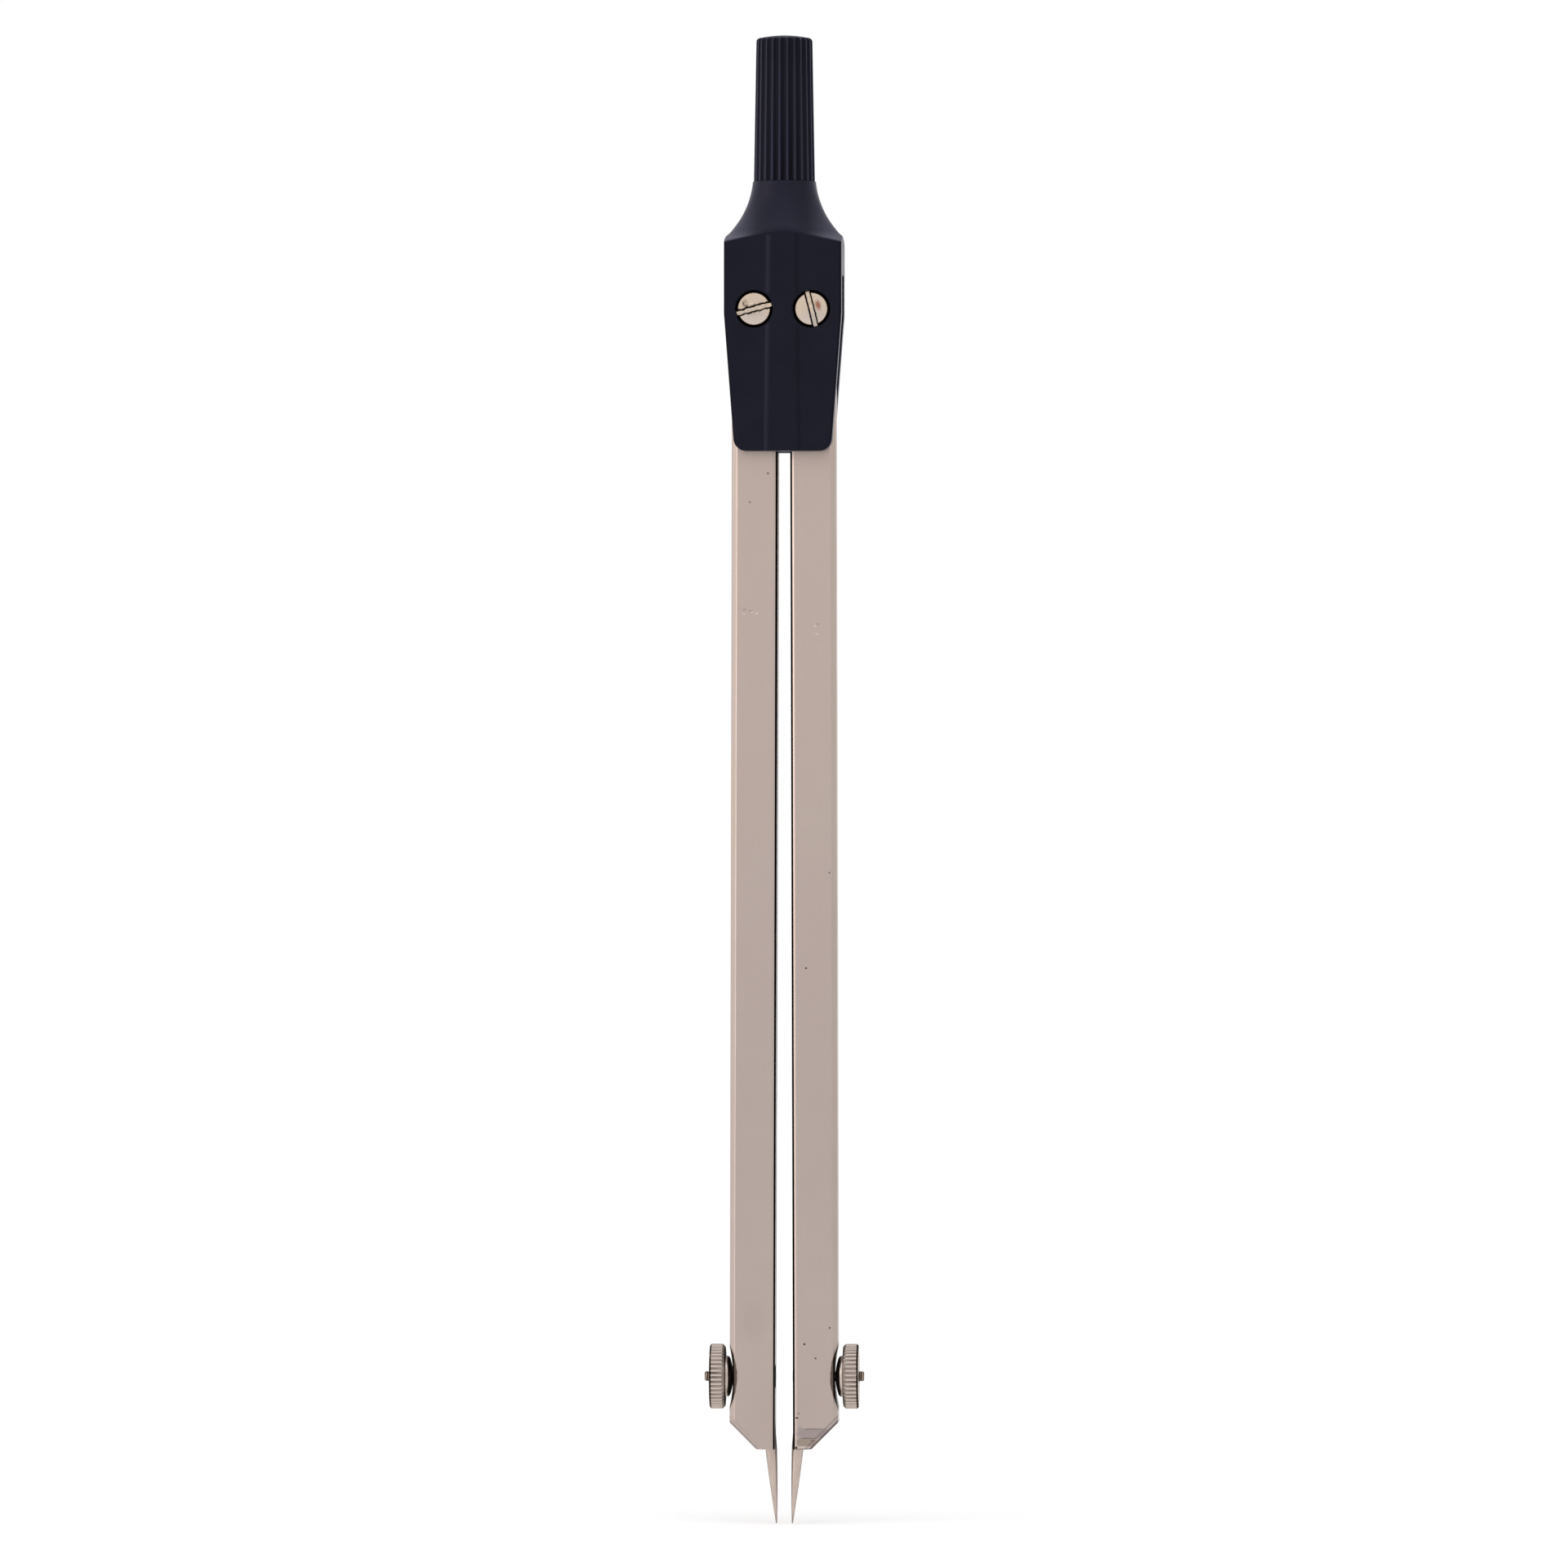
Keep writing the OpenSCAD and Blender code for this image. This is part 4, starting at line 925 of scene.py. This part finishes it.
def clampBolt(side, look):
    bm = bmesh.new()
    r, soft, root = look["eyeRadius"], look["eyeRound"], look["rootRadius"]
    shoulder, bevel, (endIn, endDown) = look["shoulder"], look["shoulderBevel"], look["endBevel"]
    profile = [(0, look["eyeEnd"])] + arc((r - soft, look["eyeEnd"] + soft), soft, -90, 0, 5)
    profile += [(r, shoulder - bevel), (r - bevel, shoulder), (root, shoulder), (root, look["studEnd"] - endDown),
                (root - endIn, look["studEnd"]), (0, look["studEnd"])]
    dirtShadeLayer = bm.verts.layers.float.new("dirt_and_shade")
    for (radius, height), ring in zip(profile, turned(bm, profile, look["columns"])):
        inThread = radius == root and height > shoulder
        for vert in ring:
            vert[dirtShadeLayer] = look["dirtShade"] if inThread or height < look["eyeEnd"] + look["eyeDirt"] else 0
    bolt = closeMesh(bm, side + "_eye_bolt", boltNickel)
    hole = bmesh.new()
    turned(hole, [(0, 0), (look["holeRadius"], 0), (look["holeRadius"], look["holeLength"]), (0, look["holeLength"])],
           look["columns"])
    hole.transform(Matrix.Translation((0, 0, look["holeShift"])) @ clampFrame(side).inverted() @ needleFrame(side)
                   @ Matrix.Translation((0, 0, look["holeFrom"])))
    carve(bolt, [closeMesh(hole, "eye_hole", boltNickel)])
    length = look["studEnd"] - look["threadStart"] - look["threadLead"]
    grow(bolt, threadTree, {"Turns": length / look["pitch"], "Root Radius": root, "Thread Length": length,
                            "Start Height": look["threadStart"], "Thread Height": look["studRadius"] - root,
                            "Finish": boltNickel})
    return settle(bolt, side + "_clamp_bolt", side + "_clamp_bolt", clampFrame(side))


def conicalNeedle(side, look):
    bm = bmesh.new()
    dirtShadeLayer = bm.verts.layers.float.new("dirt_and_shade")
    tip, total = look["tipRadius"], look["out"] + look["inside"]
    profile = [(0, 0)] + [(tip * share, h) for share, h in look["tipRound"]]
    for share in spaced(0, 1, look["rows"])[1:]:
        profile.append((tip + (look["radius"] - tip) * share + 4 * look["swell"] * share * (1 - share),
                        look["out"] * share))
    profile += [(look["radius"], h) for h in spaced(look["out"], total, 4)[1:-1]]
    profile += [(look["radius"], total - look["endBevel"]), (look["radius"] - look["endBevel"], total), (0, total)]
    atTip, tipReach = look["tipDirt"]
    for (r, h), ring in zip(profile, turned(bm, profile, look["columns"])):
        for vert in ring:  # dull at the tip, with painted shade down the outer side, darkest where it faces the other needle
            inward = -sides[side] * vert.co.y / vert.co.xy.length if r else 0
            lines = [most * max(0, (facing - start) / (1 - start))
                     for facing, (most, start) in ((inward, look["innerShade"]), (-inward, look["outerShade"]))]
            vert[dirtShadeLayer] = max(atTip * max(0, 1 - h / tipReach), *lines)
    needle = closeMesh(bm, side + "_conical_needle", needleSteel)
    return settle(needle, side + "_needle", side + "_needle", needleFrame(side))


for side in sides:
    clampBolt(side, boltLook)
    conicalNeedle(side, needleLook)
print("clamp bolts and needles made")

stageLook = {"floorSize": 4, "floorDrop": 0.00005, "floor": "#f4f4f4", "floorRough": 0.9, "floorGloss": 0.1,
             "lift": (0.26, 0.35), "liftFrom": (0.15, 0.7), "sheetLevel": 1, "roomLevel": 0.745, "ceilingLevel": 1.15,
             "leftLevel": 0.98, "backLevel": 0.4, "rightLevel": 0.75, "behind": (0.0, 0.6), "front": (-0.2, -0.9),
             "wallSpan": (-0.9, 0.9), "ceilingSpan": (0.05, 0.6), "sheetSpan": (0.3, 0.08)}


def whiteStage(look):
    bm = bmesh.new()
    bmesh.ops.create_grid(bm, x_segments=1, y_segments=1, size=look["floorSize"] / 2)
    mesh = bpy.data.meshes.new("white_floor")
    bm.to_mesh(mesh)
    bm.free()
    floor = bpy.data.objects.new("white_floor", mesh)
    floor.location.z = -look["floorDrop"]
    bpy.context.scene.collection.objects.link(floor)
    # white paper: matt, lifted to the white of the sheet behind but still taking the shadow
    material, tree, shader, coord = newMaterial("white_paper")
    setInputs(shader, {"Base Color": hexToLinear(look["floor"]), "Roughness": look["floorRough"],
                       "Specular IOR Level": look["floorGloss"], "Emission Color": (1, 1, 1, 1)})
    path = addNode(tree, "ShaderNodeLightPath").outputs
    seen = maths(tree, "MAXIMUM", path["Is Camera Ray"], path["Is Glossy Ray"])
    through = maths(tree, "MAXIMUM", seen, path["Is Transmission Ray"])
    away = mapped(tree, vectorMaths(tree, "LENGTH", coord), *look["liftFrom"], *look["lift"])
    tree.links.new(maths(tree, "MULTIPLY", through, away), shader.inputs["Emission Strength"])
    mesh.materials.append(material)

    world = bpy.data.worlds.new("white_sheet_studio")
    bpy.context.scene.world = world
    world.use_nodes = True
    tree = world.node_tree
    tree.nodes.clear()
    aim = parts(tree, addNode(tree, "ShaderNodeTexCoord").outputs["Generated"])
    # a white sheet stands behind with the dim room above it, a lit wall on the left, a dimmer one on the right
    behind = mapped(tree, aim["Y"], *look["behind"], soft=True)
    front = mapped(tree, aim["Y"], *look["front"], soft=True)
    walls = mapped(tree, aim["X"], *look["wallSpan"], look["leftLevel"], look["rightLevel"])
    above = mapped(tree, aim["Z"], *look["ceilingSpan"], look["roomLevel"], look["ceilingLevel"], soft=True)
    ahead = addNode(tree, "ShaderNodeMix", {0: front, 2: walls, 3: above}).outputs[0]
    low = mapped(tree, aim["Z"], *look["sheetSpan"], soft=True)
    back = mapped(tree, low, 0, 1, look["backLevel"], look["sheetLevel"])
    level = addNode(tree, "ShaderNodeMix", {0: behind, 2: ahead, 3: back}).outputs[0]
    room = addNode(tree, "ShaderNodeBackground", {"Color": (1, 1, 1, 1), "Strength": level}).outputs[0]
    sheet = addNode(tree, "ShaderNodeBackground", {"Color": (1, 1, 1, 1), "Strength": 1}).outputs[0]
    path = addNode(tree, "ShaderNodeLightPath").outputs
    mirrored = maths(tree, "MULTIPLY", path["Is Glossy Ray"], maths(tree, "MULTIPLY", behind, low))
    seen = maths(tree, "MAXIMUM", path["Is Camera Ray"], mirrored)
    through = maths(tree, "MAXIMUM", seen, path["Is Transmission Ray"])
    mixed = addNode(tree, "ShaderNodeMixShader", {0: through, 1: room, 2: sheet}).outputs[0]
    addNode(tree, "ShaderNodeOutputWorld", {0: mixed})


whiteStage(stageLook)

lampLook = {"key": {"place": (-0.8, -0.45, 0.35), "size": 0.7, "watts": 2.2, "tint": "#fff4e8"},
            "top": {"place": (0.05, -0.35, 0.95), "size": 0.6, "watts": 0.9, "tint": "#ebebff"}}
lampAim = Vector((0, 0, 0.08))
for lampName, lamp in lampLook.items():
    light = bpy.data.lights.new(lampName + "_softbox", "AREA")
    light.shape = "SQUARE"
    light.size = lamp["size"]
    light.energy = lamp["watts"]
    light.color = hexToLinear(lamp["tint"])[:3]
    holder = bpy.data.objects.new(lampName + "_softbox", light)
    holder.location = lamp["place"]
    holder.rotation_euler = (lampAim - Vector(lamp["place"])).to_track_quat("-Z", "Y").to_euler()
    bpy.context.scene.collection.objects.link(holder)

cameraLook = {"aim": (-0.00005, 0, 0.082), "distance": 1.5, "yaw": 2.1, "frameHeight": 0.1739, "sensor": 36}
yaw = radians(cameraLook["yaw"])
cameraData = bpy.data.cameras.new("front_camera")
cameraData.sensor_width = cameraLook["sensor"]
cameraData.lens = cameraLook["sensor"] * cameraLook["distance"] / cameraLook["frameHeight"]
cameraData.clip_end = 20
camera = bpy.data.objects.new("front_camera", cameraData)
aim = Vector(cameraLook["aim"])
camera.location = aim + cameraLook["distance"] * Vector((sin(yaw), -cos(yaw), 0))
camera.rotation_euler = (aim - camera.location).to_track_quat("-Z", "Y").to_euler()
bpy.context.scene.collection.objects.link(camera)
bpy.context.scene.camera = camera
bpy.context.scene.view_settings.view_transform = "Standard"
print("stage, lamps and camera made")
